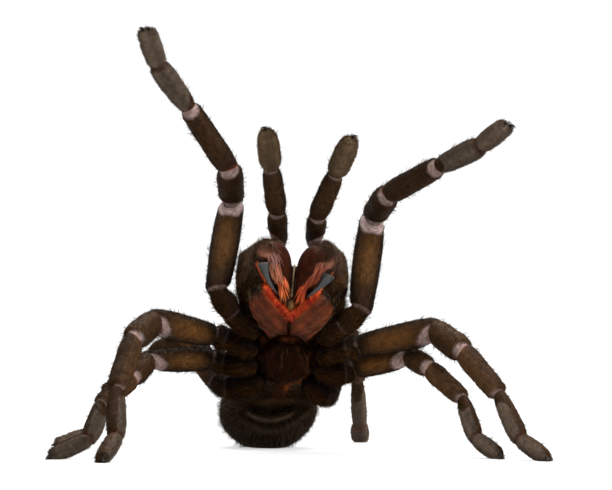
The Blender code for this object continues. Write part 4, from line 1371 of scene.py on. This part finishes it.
def chelicera_skin(side, sign):
    """Jaw base: rounded boxes from the shield to a blunt end, with a furrow for the fang."""
    c = palette()
    table = np.array(CHELICERA_STATIONS)
    y = np.linspace(table[0, 0], table[-1, 0], 90)
    form = through(table[:, 0], table[:, 1:], y)
    inner, outer, low, high = form.T
    angle = turns(96)
    corner = 0.38 * smooth(-np.cos(angle) / 0.4) * smooth(-np.sin(angle) / 0.4)
    cos = swell(np.cos(angle), 0.85 - corner)
    sin = swell(np.sin(angle), 0.88 - corner)
    x = (0.5 * (inner + outer))[:, None] + (0.5 * (outer - inner))[:, None] * cos[None]
    z = (0.5 * (low + high))[:, None] + (0.5 * (high - low))[:, None] * sin[None]
    y = y[:, None] + np.zeros_like(x)
    fang = np.array(FANG_STATIONS[side])
    fang_x = np.interp(y[:, 0], fang[::-1, 1], fang[::-1, 0])[:, None]
    fang_x = fang_x - 0.75 * np.maximum(fang[-1, 1] - y, 0.0)
    base = fang[0, 1]
    below = smooth((-sin - 0.2) / 0.4)[None]
    furrow = bell((x - fang_x) / 0.6) * smooth((y - 13.0) / 1.2)
    furrow = furrow * smooth((base + 0.1 - y) / 0.5) * below
    socket = bell((x - fang[0, 0]) / 1.3) * bell((y - base - 0.35) / 0.7) * smooth((4.2 - z) / 1.5)
    hang = smooth((2.7 - x) / 1.3) * smooth((15.8 - y) / 2.6) * below
    z = z + 0.5 * furrow - 0.35 * socket - 1.8 * hang
    points = body_point(sign * x, y - 0.6 * hang, z)
    band = smooth((fang_x - 0.3 - x) / 0.3) * smooth((x - fang_x + 2.3) / 0.5) * below
    inside = smooth((fang_x - 1.6 - x) / 0.6) * below
    inside = inside + smooth((-cos - 0.35) / 0.4)[None] * (1 - below)
    tint = paint(
        even_tint(points, c.jaw),
        (c.jaw_inside, 0.95 * inside),
        (c.seam * 0.35, 0.90 * band * (1 - inside)),
        # Painted shade in the furrow for the fang
        (c.coxa * 0.8, 0.85 * furrow),
        (c.flush, 0.9 * socket),
    )
    fur = (1 - inside) * (1 - 0.7 * socket) * (1 - furrow) * (1 - 0.8 * band)
    comb = band * smooth((base + 1.4 - y) / 0.8) * smooth((y - 12.7) / 0.5)
    edge = bell((x - fang_x - 1.3) / 0.20) * smooth((y - 12.4) / 0.6)
    return Skin(
        points,
        tint,
        FORWARD,
        fur,
        reach=0.45 + 0.55 * smooth((y - 12.4) / 1.6),
        comb=comb * smooth((x - 0.9) / 0.4),
        edge=edge * smooth((base - 1.0 - y) / 0.5) * below,
        ahead=y,
    )


def tube(middle, radius, cols, up, squash=1.0):
    """Round tube along a middle line: middle plus side cos a plus up sin a, times its radius."""
    along = unit(np.gradient(middle, axis=0))
    side = unit(np.cross(along, up))
    rise = np.cross(side, along)
    angle = turns(cols)[None, :, None]
    arm = side[:, None] * np.cos(angle) + rise[:, None] * (squash * np.sin(angle))
    return middle[:, None] + arm * radius[:, None, None]


def fang_skin(side, sign):
    """Curved fang tapering to a fine point, dull at its base and darker at its tip."""
    c = palette()
    table = np.array(FANG_STATIONS[side])
    t = np.linspace(0, 1, 90)
    knots = np.linspace(0, 1, len(table))
    form = through(knots, table, t)
    middle = body_point(sign * form[:, 0], form[:, 1], form[:, 2])
    radius = np.maximum(form[:, 3], 0.02) * (1 - 0.55 * smooth((0.02 - t) / 0.02))
    points = tube(middle, radius, 40, DORSAL, 0.92)
    fade = t[:, None] + np.zeros(points.shape[:2])
    tint = paint(
        even_tint(points, c.fang),
        (c.claw, 0.65 * smooth((fade - 0.75) / 0.25)),
        (c.flush * 0.6, 0.5 * smooth((0.10 - fade) / 0.10)),
    )
    return Skin(points, tint)


# Upper lip: middle line y and z, and radius
ROSTRUM_STATIONS = (
    (12.8, 8.2, 0.10),
    (13.5, 7.0, 0.20),
    (13.9, 4.8, 0.16),
    (13.3, 2.6, 0.17),
    (12.0, 1.3, 0.22),
    (10.8, 0.4, 0.58),
    (10.2, 0.4, 0.15),
)


def rostrum_skin():
    """Thin upper lip in the slot between the jaws, with a soft knob over the mouth."""
    c = palette()
    table = np.array(ROSTRUM_STATIONS)
    t = np.linspace(0, 1, 80)
    form = through(np.linspace(0, 1, len(table)), table, t)
    points = tube(body_point(0.0, form[:, 0], form[:, 1]), form[:, 2], 24, LATERAL)
    low = smooth((t - 0.55) / 0.3)[:, None] * np.ones((1, 24))
    return Skin(points, blend(even_tint(points, c.lip), c.amber * 1.5, low))


class TARANTULA_OT_jaws(bpy.types.Operator):
    """Both chelicerae with their half-open fangs."""

    bl_idname = "tarantula.jaws"
    bl_label = "Jaws"

    def execute(self, context):
        for side, sign in SIDES:
            jaw, fang = "chelicera_" + side, "fang_" + side
            add_skin(jaw, chelicera_skin(side, sign), "jaw_plate", [jaw])
            add_skin(fang, fang_skin(side, sign), "fang_horn", [fang])
        add_skin("rostrum", rostrum_skin(), "mouth_plate")
        return {"FINISHED"}


# Eyes: x, offset from the eye row's middle and radius
EYES = {
    "eye_front_middle": (0.48, 0.42, 0.36),
    "eye_front_side": (1.35, 0.40, 0.33),
    "eye_rear_middle": (0.75, -0.42, 0.22),
    "eye_rear_side": (1.40, -0.42, 0.28),
}


class TARANTULA_OT_eyes(bpy.types.Operator):
    """Eight glossy domes in two rows on the eye mound."""

    bl_idname = "tarantula.eyes"
    bl_label = "Eyes"

    def execute(self, context):
        colour = palette().eye
        angle = turns(36)
        v = np.linspace(-0.5 * math.pi, 0.5 * math.pi, 26)[:, None] * 0.999
        for kind, (x, offset, radius) in EYES.items():
            ring = radius * np.cos(v)
            y = EYE_ROW_Y + offset + ring * np.sin(angle)
            z = EYE_LEVEL + 0.05 + 0.95 * radius * np.sin(v)
            for side, sign in SIDES:
                name = kind + "_" + side
                points = body_point(sign * x + ring * np.cos(angle), y, z)
                add_skin(name, Skin(points, even_tint(points, colour)), "cornea", [name])
        return {"FINISHED"}


def abdomen_middle(t):
    """Middle line of the abdomen from the pedicel (0) to the rear (1)."""
    t = np.asarray(t, float)
    x = ABDOMEN_FRONT[0] - 2.5 * smooth(1.4 * t)
    y = ABDOMEN_FRONT[1] + ABDOMEN_LENGTH * t
    z = ABDOMEN_REAR_LEVEL + (ABDOMEN_FRONT[2] - ABDOMEN_REAR_LEVEL) * np.maximum(1 - t, 0.0) ** 2.2
    return np.stack([x, y, z], axis=-1)


# Abdomen: share of the way along it and scale of its section
ABDOMEN_STATIONS = (
    (0.0, 0.16), (0.02, 0.34), (0.07, 0.58), (0.13, 0.74), (0.19, 0.84), (0.26, 0.91),
    (0.36, 0.98), (0.50, 1.0), (0.64, 0.94), (0.78, 0.80), (0.89, 0.61), (0.96, 0.41), (1.0, 0.20),
)


def abdomen_skin():
    """Egg along its middle line, with furrow, lip and soft wrinkles on its underside."""
    c = palette()
    t = np.linspace(0, 1, 190) ** 1.4
    scale = through(*zip(*ABDOMEN_STATIONS), t)
    middle = abdomen_middle(t)
    along = unit(abdomen_middle(t + 0.02) - abdomen_middle(t - 0.02))
    side = unit(np.cross(along, UP))
    up = np.cross(side, along)
    angle = turns(150)
    under = smooth((-np.sin(angle) - 0.05) / 0.4)[None]
    across = swell(np.cos(angle), 1.0 + 0.25 * smooth(-np.sin(angle) / 0.6))
    wrinkle = np.sin(t[:, None] * 210 + 3 * np.sin(3 * angle)[None])
    wrinkle = wrinkle * smooth((t[:, None] - 0.24) / 0.1)
    relief = 0.955 + 0.0022 * wrinkle * under
    half = ABDOMEN_HALF_WIDTH * across[None, :, None] * side[:, None]
    half = half + ABDOMEN_HALF_HEIGHT * np.sin(angle)[None, :, None] * up[:, None]
    points = middle[:, None] + half * (scale[:, None] * relief)[..., None]
    # Furrow with a pale lip under it and a second fold, across the face below the waist
    x, y, z = points[..., 0], points[..., 1], points[..., 2]
    bow = 1.1 * ((x - FURROW_X) / 3.7) ** 2
    face = smooth((ABDOMEN_FRONT[1] + 5.0 - y) / 2.5) * under
    wide = smooth((4.2 - np.abs(x - FURROW_X)) / 1.2)
    level = z - FURROW_LEVEL
    slit = bell((level - 0.7 * bow) / 0.52) * wide * face
    lip = bell((level + 1.50 - bow) / 0.33) * wide * face
    y += 1.4 * slit - 0.55 * lip + 0.3 * bell((level + 2.9 - bow) / 0.30) * face
    points[..., 2] = np.maximum(z, LOWEST_BELLY)
    level = z - FURROW_LEVEL
    tint = paint(
        even_tint(points, c.abdomen),
        (c.brown * 2.6, 0.9 * smooth((level - 0.8) / 1.0) * face),
        # Painted shade in the slit of the furrow
        (c.coxa * 0.25, 0.95 * slit),
        (c.fuzz * 1.3, 0.80 * lip + 0.30 * bell((level + 3.3 - bow) / 0.45) * face),
    )
    # Painted shade: darker in a crease below the lip and toward the bottom, by the floor
    fold = 0.65 * bell((level + 2.3 - bow) / 0.45) + 0.70 * smooth((FURROW_LEVEL - 3.9 - z) / 0.8)
    tint = tint * (1.0 - fold * under * smooth((ABDOMEN_FRONT[1] + 9.0 - y) / 3.0))[..., None]
    fur = (1 - 0.95 * slit) * (1 - 0.5 * lip) * smooth((z - 0.1) / 0.3)
    reach = 1.0 + 0.5 * smooth((t[:, None] - 0.3) / 0.5)
    return Skin(points, tint, along[:, None] - UP * face[..., None], fur, reach)


# Spinneret: distance along it and radius
SPINNERET_STATIONS = (
    (0.0, 0.62), (0.4, 0.76), (1.5, 0.74), (1.7, 0.60), (1.9, 0.67),
    (3.0, 0.60), (3.2, 0.48), (3.4, 0.53), (4.3, 0.34), (4.5, 0.12),
)


def spinneret_skin(sign):
    """Long spinneret of three short joints."""
    c = palette()
    start = abdomen_middle(1.0) + np.array([sign * 0.95, 0.55, 0.3])
    direction = unit(np.array([sign * 0.28, 0.9, 0.12]))
    d = np.linspace(-0.3, 4.5, 70)
    radius = np.maximum(through(*zip(*SPINNERET_STATIONS), np.maximum(d, 0.0)), 0.05)
    points = tube(start + direction * d[:, None], radius, 28, UP)
    tint = blend(even_tint(points, c.abdomen), c.velvet, 0.3 * np.ones(points.shape[:2]))
    return Skin(points, tint, direction)


# Pedicel: share of the way along it and radius, and factors for the rust on its skin
PEDICEL_STATIONS = ((0, 0.7), (0.15, 0.95), (0.5, 0.82), (0.85, 0.9), (1.0, 0.7))
PEDICEL_RUST = np.array([3.4, 2.6, 2.0])


def pedicel_skin():
    """Narrow waist between sternum and abdomen, sunk into both."""
    c = palette()
    start = body_point(0, -5.0, 1.5)
    end = ABDOMEN_FRONT + np.array([0.0, 0.6, 0.0])
    t = np.linspace(0, 1, 50)
    middle = start + (end - start) * t[:, None]
    radius = through(*zip(*PEDICEL_STATIONS), t)
    points = tube(middle, radius + 0.03 * np.sin(60 * t), 32, UP)
    across = (points - body_point(0.0, 0.0, 0.0)) @ LATERAL
    rust = smooth((across + 0.4) / 1.0) * smooth((0.5 - t[:, None]) / 0.25)
    tint = blend(even_tint(points, c.coxa), c.seam, 0.5)
    tint = blend(tint, c.seam * PEDICEL_RUST, 0.85 * rust)
    return Skin(points, tint, end - start, 1.0 - 0.7 * rust)


class TARANTULA_OT_abdomen(bpy.types.Operator):
    """Abdomen with its furrow, two long spinnerets and the waist."""

    bl_idname = "tarantula.abdomen"
    bl_label = "Abdomen"

    def execute(self, context):
        add_skin("abdomen", abdomen_skin(), "soft_skin", ["abdomen"])
        add_skin("pedicel", pedicel_skin(), "soft_skin", ["pedicel"])
        for side, sign in SIDES:
            name = "spinneret_" + side
            add_skin(name, spinneret_skin(sign), "soft_skin", [name])
        return {"FINISHED"}


# Length of a claw and how far each claw of a leg is from the foot's middle
CLAW_SIZE = 1.5
CLAW_SPREAD = 0.42


def claw_mesh(root, along, down, side):
    """One hooked claw: an arc that leaves the foot and turns down, tapering to a point."""
    t = np.linspace(0, 1, 12)[:, None]
    middle = root + along * CLAW_SIZE * np.sin(1.5 * t)
    middle = middle + down * CLAW_SIZE * (1 - np.cos(1.5 * t)) * 0.8
    middle = middle + side * CLAW_SIZE * 0.15 * t
    radius = CLAW_SIZE * 0.20 * (1 - t[:, 0]) ** 0.8 + 0.008
    return grid_mesh(tube(middle, radius, 8, -down))


class TARANTULA_OT_claws(bpy.types.Operator):
    """A pair of hooked claws at the tip of each leg and one at the tip of each palp."""

    bl_idname = "tarantula.claws"
    bl_label = "Claws"

    def execute(self, context):
        colour = palette().claw
        for name, chain in CHAINS.items():
            along, back = chain.along[-1], chain.back[-1]
            side = np.cross(along, back)
            tip = chain.points[-1] - along * 0.20 - back * 0.05
            spread = (-CLAW_SPREAD, CLAW_SPREAD) if name.startswith("leg") else (0.0,)
            meshes = [claw_mesh(tip + side * s, along, -back, side * np.sign(s)) for s in spread]
            verts, tris = joined(meshes)
            verts[:, 2] = np.maximum(verts[:, 2], LOWEST_HAIR)
            tint = even_tint(verts, colour)
            add_piece("claws_" + name, verts, tris, tint, "claw_horn")
        return {"FINISHED"}


# Limb hair: a palp's share of a leg's tufts, the long hair's length as a share, long and pad
# tufts as shares of the short ones, and the tufts on hip crests, tips and palp bases
PALP_SHARE = 0.45
LIMB_BRISTLE = 0.78
LONG_SHARE = 0.08
PAD_SHARE = 0.32
CREST_TUFTS = 420
TIP_TUFTS = 300
ARM_TUFTS = 360

# Share of long hair on the abdomen
ABDOMEN_LONG_SHARE = 0.14

# First seed of the random draws for the hair of limbs, body pieces, abdomen and mouth
LIMB_SEED = 100
BODY_SEED = 300
ABDOMEN_SEED = 400
FRINGE_SEED = 500


class TARANTULA_OT_limb_coat(bpy.types.Operator):
    """Hair of legs and palps: short hair that lies flat, long hair and the feet's velvet."""

    bl_idname = "tarantula.limb_coat"
    bl_label = "Limb hair"

    def execute(self, context):
        c = palette()
        sizes = context.scene.tarantula_sizes
        radius = sizes.hair_radius / MM
        down = sizes.down_length / MM
        bristle = LIMB_BRISTLE * sizes.bristle_length / MM
        velvet = sizes.pad_length / MM
        tuft = {"bend": 0.4, "stray": 0.5, "shade": 1.6}
        for index, name in enumerate(CHAINS):
            skin = SKINS[name]
            rng = np.random.default_rng(LIMB_SEED + index)
            count = int(sizes.leg_tufts * (1.0 if name.startswith("leg") else PALP_SHARE))
            hip = ((skin.kind == "coxa") | (skin.kind == "hip"))[:, None]
            arm = (skin.kind == "arm")[:, None]
            skin.reach = 1.0 + 0.5 * hip + 0.3 * skin.tip
            # Tufts on the hip crests, coloured lighter brown: partly their own colour, partly a
            # painted highlight
            crest = {"weight": skin.fur * hip * hip_crest(), "tint": c.amber * 0.42, "vary": 0.85}
            tip = {"weight": skin.tip, "bend": 0.3, "stray": 0.5, "shade": 1.2}
            long_count = int(LONG_SHARE * count)
            coat = [
                grow(skin, count, down, radius, 0.26, rng, stray=0.22, vary=0.4),
                grow(skin, long_count, bristle, radius, 0.9, rng, bend=0.4, stray=0.5, shade=1.2),
                grow(skin, CREST_TUFTS, 1.4 * down, radius, 0.45, rng, **tuft, **crest),
                grow(skin, TIP_TUFTS, 0.8 * down, 1.2 * radius, 1.0, rng, **tip),
            ]
            if arm.any():
                grey = {"weight": skin.fur * arm, "tint": c.fuzz * 1.9, "vary": 0.8}
                coat.append(grow(skin, ARM_TUFTS, bristle, radius, 0.35, rng, **tuft, **grey))
            add_coat("hair_" + name, coat, "brown_hair")
            pad_count = int(PAD_SHARE * count)
            pad = {"weight": skin.pad, "stray": 0.7, "shade": 1.3}
            pads = [grow(skin, pad_count, velvet, radius, 0.9, rng, **pad)]
            add_coat("pad_hair_" + name, pads, "pad_hair")
        return {"FINISHED"}


# Coat of each body piece: share of the tufts, their length as a share of the short hair, lift,
# share of long hair, how bright the tips are and how many pale hairs lie over it
BODY_COATS = {
    "carapace": (0.60, 1.0, 0.30, 0.02, 1.4, 0),
    "sternum": (0.14, 0.9, 0.4, 0.10, 2.2, 60),
    "labium": (0.02, 0.7, 0.5, 0.10, 1.6, 0),
    "body_membrane": (0.20, 1.0, 0.5, 0.20, 1.8, 0),
    "pedicel": (0.05, 1.0, 0.5, 0.10, 1.6, 0),
    "throat": (0.16, 1.3, 0.6, 0.20, 2.0, 260),
    "maxilla_right": (0.05, 0.8, 0.22, 0.02, 0.9, 60),
    "maxilla_left": (0.05, 0.8, 0.22, 0.02, 0.9, 90),
    "chelicera_right": (0.25, 1.0, 0.35, 0.08, 1.9, 240),
    "chelicera_left": (0.25, 1.0, 0.35, 0.08, 1.9, 240),
    "spinneret_right": (0.05, 1.0, 0.45, 0.1, 1.5, 0),
    "spinneret_left": (0.05, 1.0, 0.45, 0.1, 1.5, 0),
}


class TARANTULA_OT_body_coat(bpy.types.Operator):
    """Hair of the shield, sternum, mouth plates, jaws, abdomen and spinnerets."""

    bl_idname = "tarantula.body_coat"
    bl_label = "Body hair"

    def execute(self, context):
        c = palette()
        sizes = context.scene.tarantula_sizes
        radius = sizes.hair_radius / MM
        down = sizes.down_length / MM
        bristle = sizes.bristle_length / MM
        pale = {"bend": 0.5, "shade": 1.4, "tint": c.lip * 0.7, "vary": 0.8}
        stiff = {"bend": 0.4, "stray": 0.6}
        for index, (name, plan) in enumerate(BODY_COATS.items()):
            share, length, lift, long_share, shade, pale_count = plan
            rng = np.random.default_rng(BODY_SEED + index)
            skin = SKINS[name]
            count = int(share * sizes.body_tufts)
            long_count = int(count * long_share)
            coat = [grow(skin, count, length * down, radius, lift, rng, shade=shade, vary=0.6)]
            if pale_count:
                lines = grow(skin, pale_count, 1.3 * bristle, 0.6 * radius, 0.12, rng, **pale)
                coat.append(lines)
            stiff["shade"] = 1.3 * shade
            coat.append(grow(skin, long_count, bristle, 0.8 * radius, 0.8, rng, **stiff))
            add_coat("hair_" + name, coat, "brown_hair")
        rng = np.random.default_rng(ABDOMEN_SEED)
        skin = SKINS["abdomen"]
        coat = [grow(skin, sizes.body_tufts, 1.1 * down, radius, 0.4, rng, shade=2.0)]
        fine = {"bend": 0.4, "stray": 0.6, "tint": c.fuzz}
        fine_count = int(ABDOMEN_LONG_SHARE * sizes.body_tufts)
        coat.append(grow(skin, fine_count, 1.1 * bristle, 0.8 * radius, 0.7, rng, **fine))
        add_coat("hair_abdomen", coat, "brown_hair")
        return {"FINISHED"}


# Fringe of each maxilla: tufts at its root, how bright it is, and the shade of the jaw's comb.
# Brightness and shade are painted light: the right fringe is painted darker than the left, and
# the left comb darker than the right
FRINGE_SIDES = {
    "right": (750, 0.78, np.array([1.0, 1.0, 1.0])),
    "left": (600, 0.95, np.array([0.62, 0.45, 0.40])),
}

# Factors that turn the colours of fringe, soft skin and joint skin into those of the tufts
DEEP_FRINGE = np.array([0.30, 0.10, 0.15])
BRIGHT_FRINGE = np.array([1.0, 0.80, 0.8])
EDGE_FRINGE = np.array([0.55, 0.75, 1.0])
COMB_BASE = np.array([0.90, 0.60, 0.52])
COMB_MIDDLE = np.array([3.0, 2.8, 2.5])
COMB_END = np.array([1.0, 1.35, 2.0])
COMB_DEPTH = np.array([0.42, 0.22, 0.20])

# Where the comb turns from pale to red and from red to orange: y, and over what length
COMB_RED = (19.4, 1.6)
COMB_ORANGE = (17.3, 3.0)


def comb_tint(jaw, side, shade=1.0):
    """Colour for each place of a jaw's comb: pale by the fang's base, then red, then orange."""
    c = palette()
    pale, flush, ember = c.membrane * COMB_BASE, c.flush * COMB_MIDDLE, c.fringe * COMB_END
    # Painted shade: the left comb darker than the right
    painted_comb_shade = FRINGE_SIDES[side][2]

    def tint(place):
        y = jaw.at(jaw.ahead, place)
        red, orange = (smooth((start - y) / over) for start, over in (COMB_RED, COMB_ORANGE))
        return painted_comb_shade * blend(blend(pale, flush, red), ember, orange) * shade

    return tint


def fringe_rows(skin, rows, length, radius, rng):
    """Rows of bent tufts on a skin.

    Each row gives the tufts, their length and radius as shares, lift, weight on the skin, stray,
    how bright their tips are, their colour and how much they vary.
    """
    tufts = []
    for count, long, thick, lift, weight, stray, shade, tint, vary in rows:
        look = {"weight": weight, "stray": stray, "shade": shade, "tint": tint, "vary": vary}
        tuft = grow(skin, count, long * length, thick * radius, lift, rng, bend=0.5, **look)
        tufts.append(tuft)
    return tufts


class TARANTULA_OT_fringe(bpy.types.Operator):
    """Orange fringe of the maxillae and the combs beside the fangs."""

    bl_idname = "tarantula.fringe"
    bl_label = "Mouth fringe"

    def execute(self, context):
        sizes = context.scene.tarantula_sizes
        colour = palette().fringe
        radius = sizes.hair_radius / MM
        length = sizes.fringe_length / MM
        for side, sign in SIDES:
            rng = np.random.default_rng(FRINGE_SEED + sign)
            root_count, light, _ = FRINGE_SIDES[side]
            plate = SKINS["maxilla_" + side]
            plate.lie(FORWARD * 0.70 - LATERAL * (0.50 * sign) - DORSAL * 0.15)
            # Painted light: each side's bright fringe lighter or darker by its factor
            deep, bright = colour * DEEP_FRINGE, colour * BRIGHT_FRINGE * light
            rows = (
                (root_count, 0.75, 1.8, 0.35, plate.edge, 0.35, 1.0, deep, 0.5),
                (800, 0.80, 1.2, 0.25, plate.edge, 0.25, 2.0, bright, 0.75),
            )
            tufts = fringe_rows(plate, rows, length, radius, rng)
            add_coat("fringe_maxilla_" + side, tufts, "fringe_hair")
            jaw = SKINS["chelicera_" + side]
            jaw.lie(-FORWARD * 0.80 - LATERAL * (0.30 * sign) - DORSAL * 0.3)
            tips, depth = comb_tint(jaw, side), comb_tint(jaw, side, COMB_DEPTH)
            rows = (
                (210, 1.25, 1.35, 0.30, jaw.comb, 0.10, 2.5, tips, 0.7),
                (110, 1.0, 1.6, 0.18, jaw.comb, 0.14, 1.4, depth, 0.7),
                (300, 0.6, 1.5, 0.30, jaw.edge, 0.12, 1.5, colour * EDGE_FRINGE, 0.7),
            )
            tufts = fringe_rows(jaw, rows, length, radius, rng)
            add_coat("fringe_chelicera_" + side, tufts, "fringe_hair")
        return {"FINISHED"}


# Floor in metres: half its width, its front edge, the end of its flat part, the radius of its
# bend up to the wall and the top of the wall
FLOOR_HALF_WIDTH = 1.8
FLOOR_FRONT = -1.6
FLOOR_END = 0.9
FLOOR_BEND = 0.5
WALL_TOP = 2.2

# Lights in metres: place, size and what each one faces
ANIMAL = (0.0, 0.0, 0.025)
LIGHTS = {
    "top": ((0.0, 0.25, 0.80), 1.0, ANIMAL),
    "key": ((-0.30, -0.55, 0.55), 0.5, ANIMAL),
    "fill": ((0.50, -0.40, 0.40), 0.5, ANIMAL),
    "wall": ((0.0, 0.55, 1.5), 0.8, (0.0, 1.4, 0.3)),
}


def floor_mesh():
    """Floor that runs back flat, then up a quarter circle to a wall."""
    bend = np.linspace(0, 0.5 * math.pi, 24)[1:]
    flat = np.concatenate([[FLOOR_FRONT, -0.5], np.linspace(-0.2, FLOOR_END, 12)])
    y = np.concatenate([flat, FLOOR_END + FLOOR_BEND * np.sin(bend), [FLOOR_END + FLOOR_BEND]])
    rise = FLOOR_BEND - FLOOR_BEND * np.cos(bend)
    z = np.concatenate([np.zeros(len(flat)), rise, [WALL_TOP]])
    x = np.linspace(-FLOOR_HALF_WIDTH, FLOOR_HALF_WIDTH, 9)
    points = np.stack([np.tile(x, len(y)), np.repeat(y, len(x)), np.repeat(z, len(x))], axis=-1)
    row = np.arange(len(y) - 1)[:, None] * len(x)
    first = (row + np.arange(len(x) - 1)[None]).ravel()
    quads = np.stack([first, first + 1, first + 1 + len(x), first + len(x)], axis=-1)
    mesh = bpy.data.meshes.new("floor")
    mesh.from_pydata(points, [], quads)
    mesh.shade_smooth()
    return mesh


class TARANTULA_OT_stage(bpy.types.Operator):
    """Pale floor that rises behind the animal, soft lights, white surround and camera."""

    bl_idname = "tarantula.stage"
    bl_label = "Stage"

    def execute(self, context):
        scene = context.scene
        stage = scene.tarantula_stage
        white = (1.0, 1.0, 1.0, 1.0)
        material, tree, shader = new_material("pale_floor")
        inputs = {
            "Base Color": (*scene.tarantula_colours.floor, 1.0),
            "Roughness": 0.9,
            "Emission Color": white,
            "Emission Strength": stage.floor_light,
        }
        set_inputs(tree, shader, inputs)
        mesh = floor_mesh()
        mesh.materials.append(material)
        add_object("floor", mesh)

        world = bpy.data.worlds.new("white_surround")
        world.use_nodes = True
        tree = world.node_tree
        set_inputs(tree, tree.nodes["Background"], {"Color": white, "Strength": stage.sky})
        scene.world = world
        scene.view_settings.view_transform = "Standard"

        for name, (place, size, target) in LIGHTS.items():
            data = bpy.data.lights.new(name + "_light", "AREA")
            data.energy = getattr(stage, name + "_power")
            data.size = size
            light = add_object(name + "_light", data)
            light.location = place
            way = Vector(target) - Vector(place)
            light.rotation_euler = way.to_track_quat("-Z", "Y").to_euler()

        data = bpy.data.cameras.new("camera")
        data.sensor_width = 36.0
        data.lens = stage.lens
        data.clip_start = 0.01
        camera = add_object("camera", data)
        shift = CENTRE_SHIFT * MM
        camera.location = (shift[0], shift[1] - stage.distance, stage.height)
        camera.rotation_euler = (0.5 * math.pi + stage.tilt, 0.0, 0.0)
        scene.camera = camera
        return {"FINISHED"}


class TARANTULA_PT_panel(bpy.types.Panel):
    """Lists the makers of the animal's pieces."""

    bl_label = "Tarantula"
    bl_idname = "TARANTULA_PT_panel"
    bl_space_type = "VIEW_3D"
    bl_region_type = "UI"
    bl_category = "Tarantula"

    def draw(self, context):
        for operator in OPERATORS:
            self.layout.operator(operator.bl_idname)
        for group in ("tarantula_sizes", "tarantula_colours", "tarantula_stage"):
            settings = getattr(context.scene, group)
            for key in settings.bl_rna.properties.keys():
                if key not in ("rna_type", "name"):
                    self.layout.prop(settings, key)


OPERATORS = (
    TARANTULA_OT_legs,
    TARANTULA_OT_palps,
    TARANTULA_OT_front_body,
    TARANTULA_OT_jaws,
    TARANTULA_OT_eyes,
    TARANTULA_OT_abdomen,
    TARANTULA_OT_claws,
    TARANTULA_OT_limb_coat,
    TARANTULA_OT_body_coat,
    TARANTULA_OT_fringe,
    TARANTULA_OT_stage,
)
CLASSES = (TarantulaColours, TarantulaSizes, TarantulaStage, *OPERATORS, TARANTULA_PT_panel)


def register():
    """Add the classes and their settings."""
    for cls in CLASSES:
        bpy.utils.register_class(cls)
    bpy.types.Scene.tarantula_colours = PointerProperty(type=TarantulaColours)
    bpy.types.Scene.tarantula_sizes = PointerProperty(type=TarantulaSizes)
    bpy.types.Scene.tarantula_stage = PointerProperty(type=TarantulaStage)


def unregister():
    """Remove the settings and the classes."""
    del bpy.types.Scene.tarantula_stage
    del bpy.types.Scene.tarantula_sizes
    del bpy.types.Scene.tarantula_colours
    for cls in reversed(CLASSES):
        bpy.utils.unregister_class(cls)


def main():
    """Build every piece in order."""
    register()
    make_materials()
    bpy.ops.tarantula.legs()
    bpy.ops.tarantula.palps()
    bpy.ops.tarantula.front_body()
    bpy.ops.tarantula.jaws()
    bpy.ops.tarantula.eyes()
    bpy.ops.tarantula.abdomen()
    bpy.ops.tarantula.claws()
    bpy.ops.tarantula.limb_coat()
    bpy.ops.tarantula.body_coat()
    bpy.ops.tarantula.fringe()
    bpy.ops.tarantula.stage()


if __name__ == "__main__":
    main()
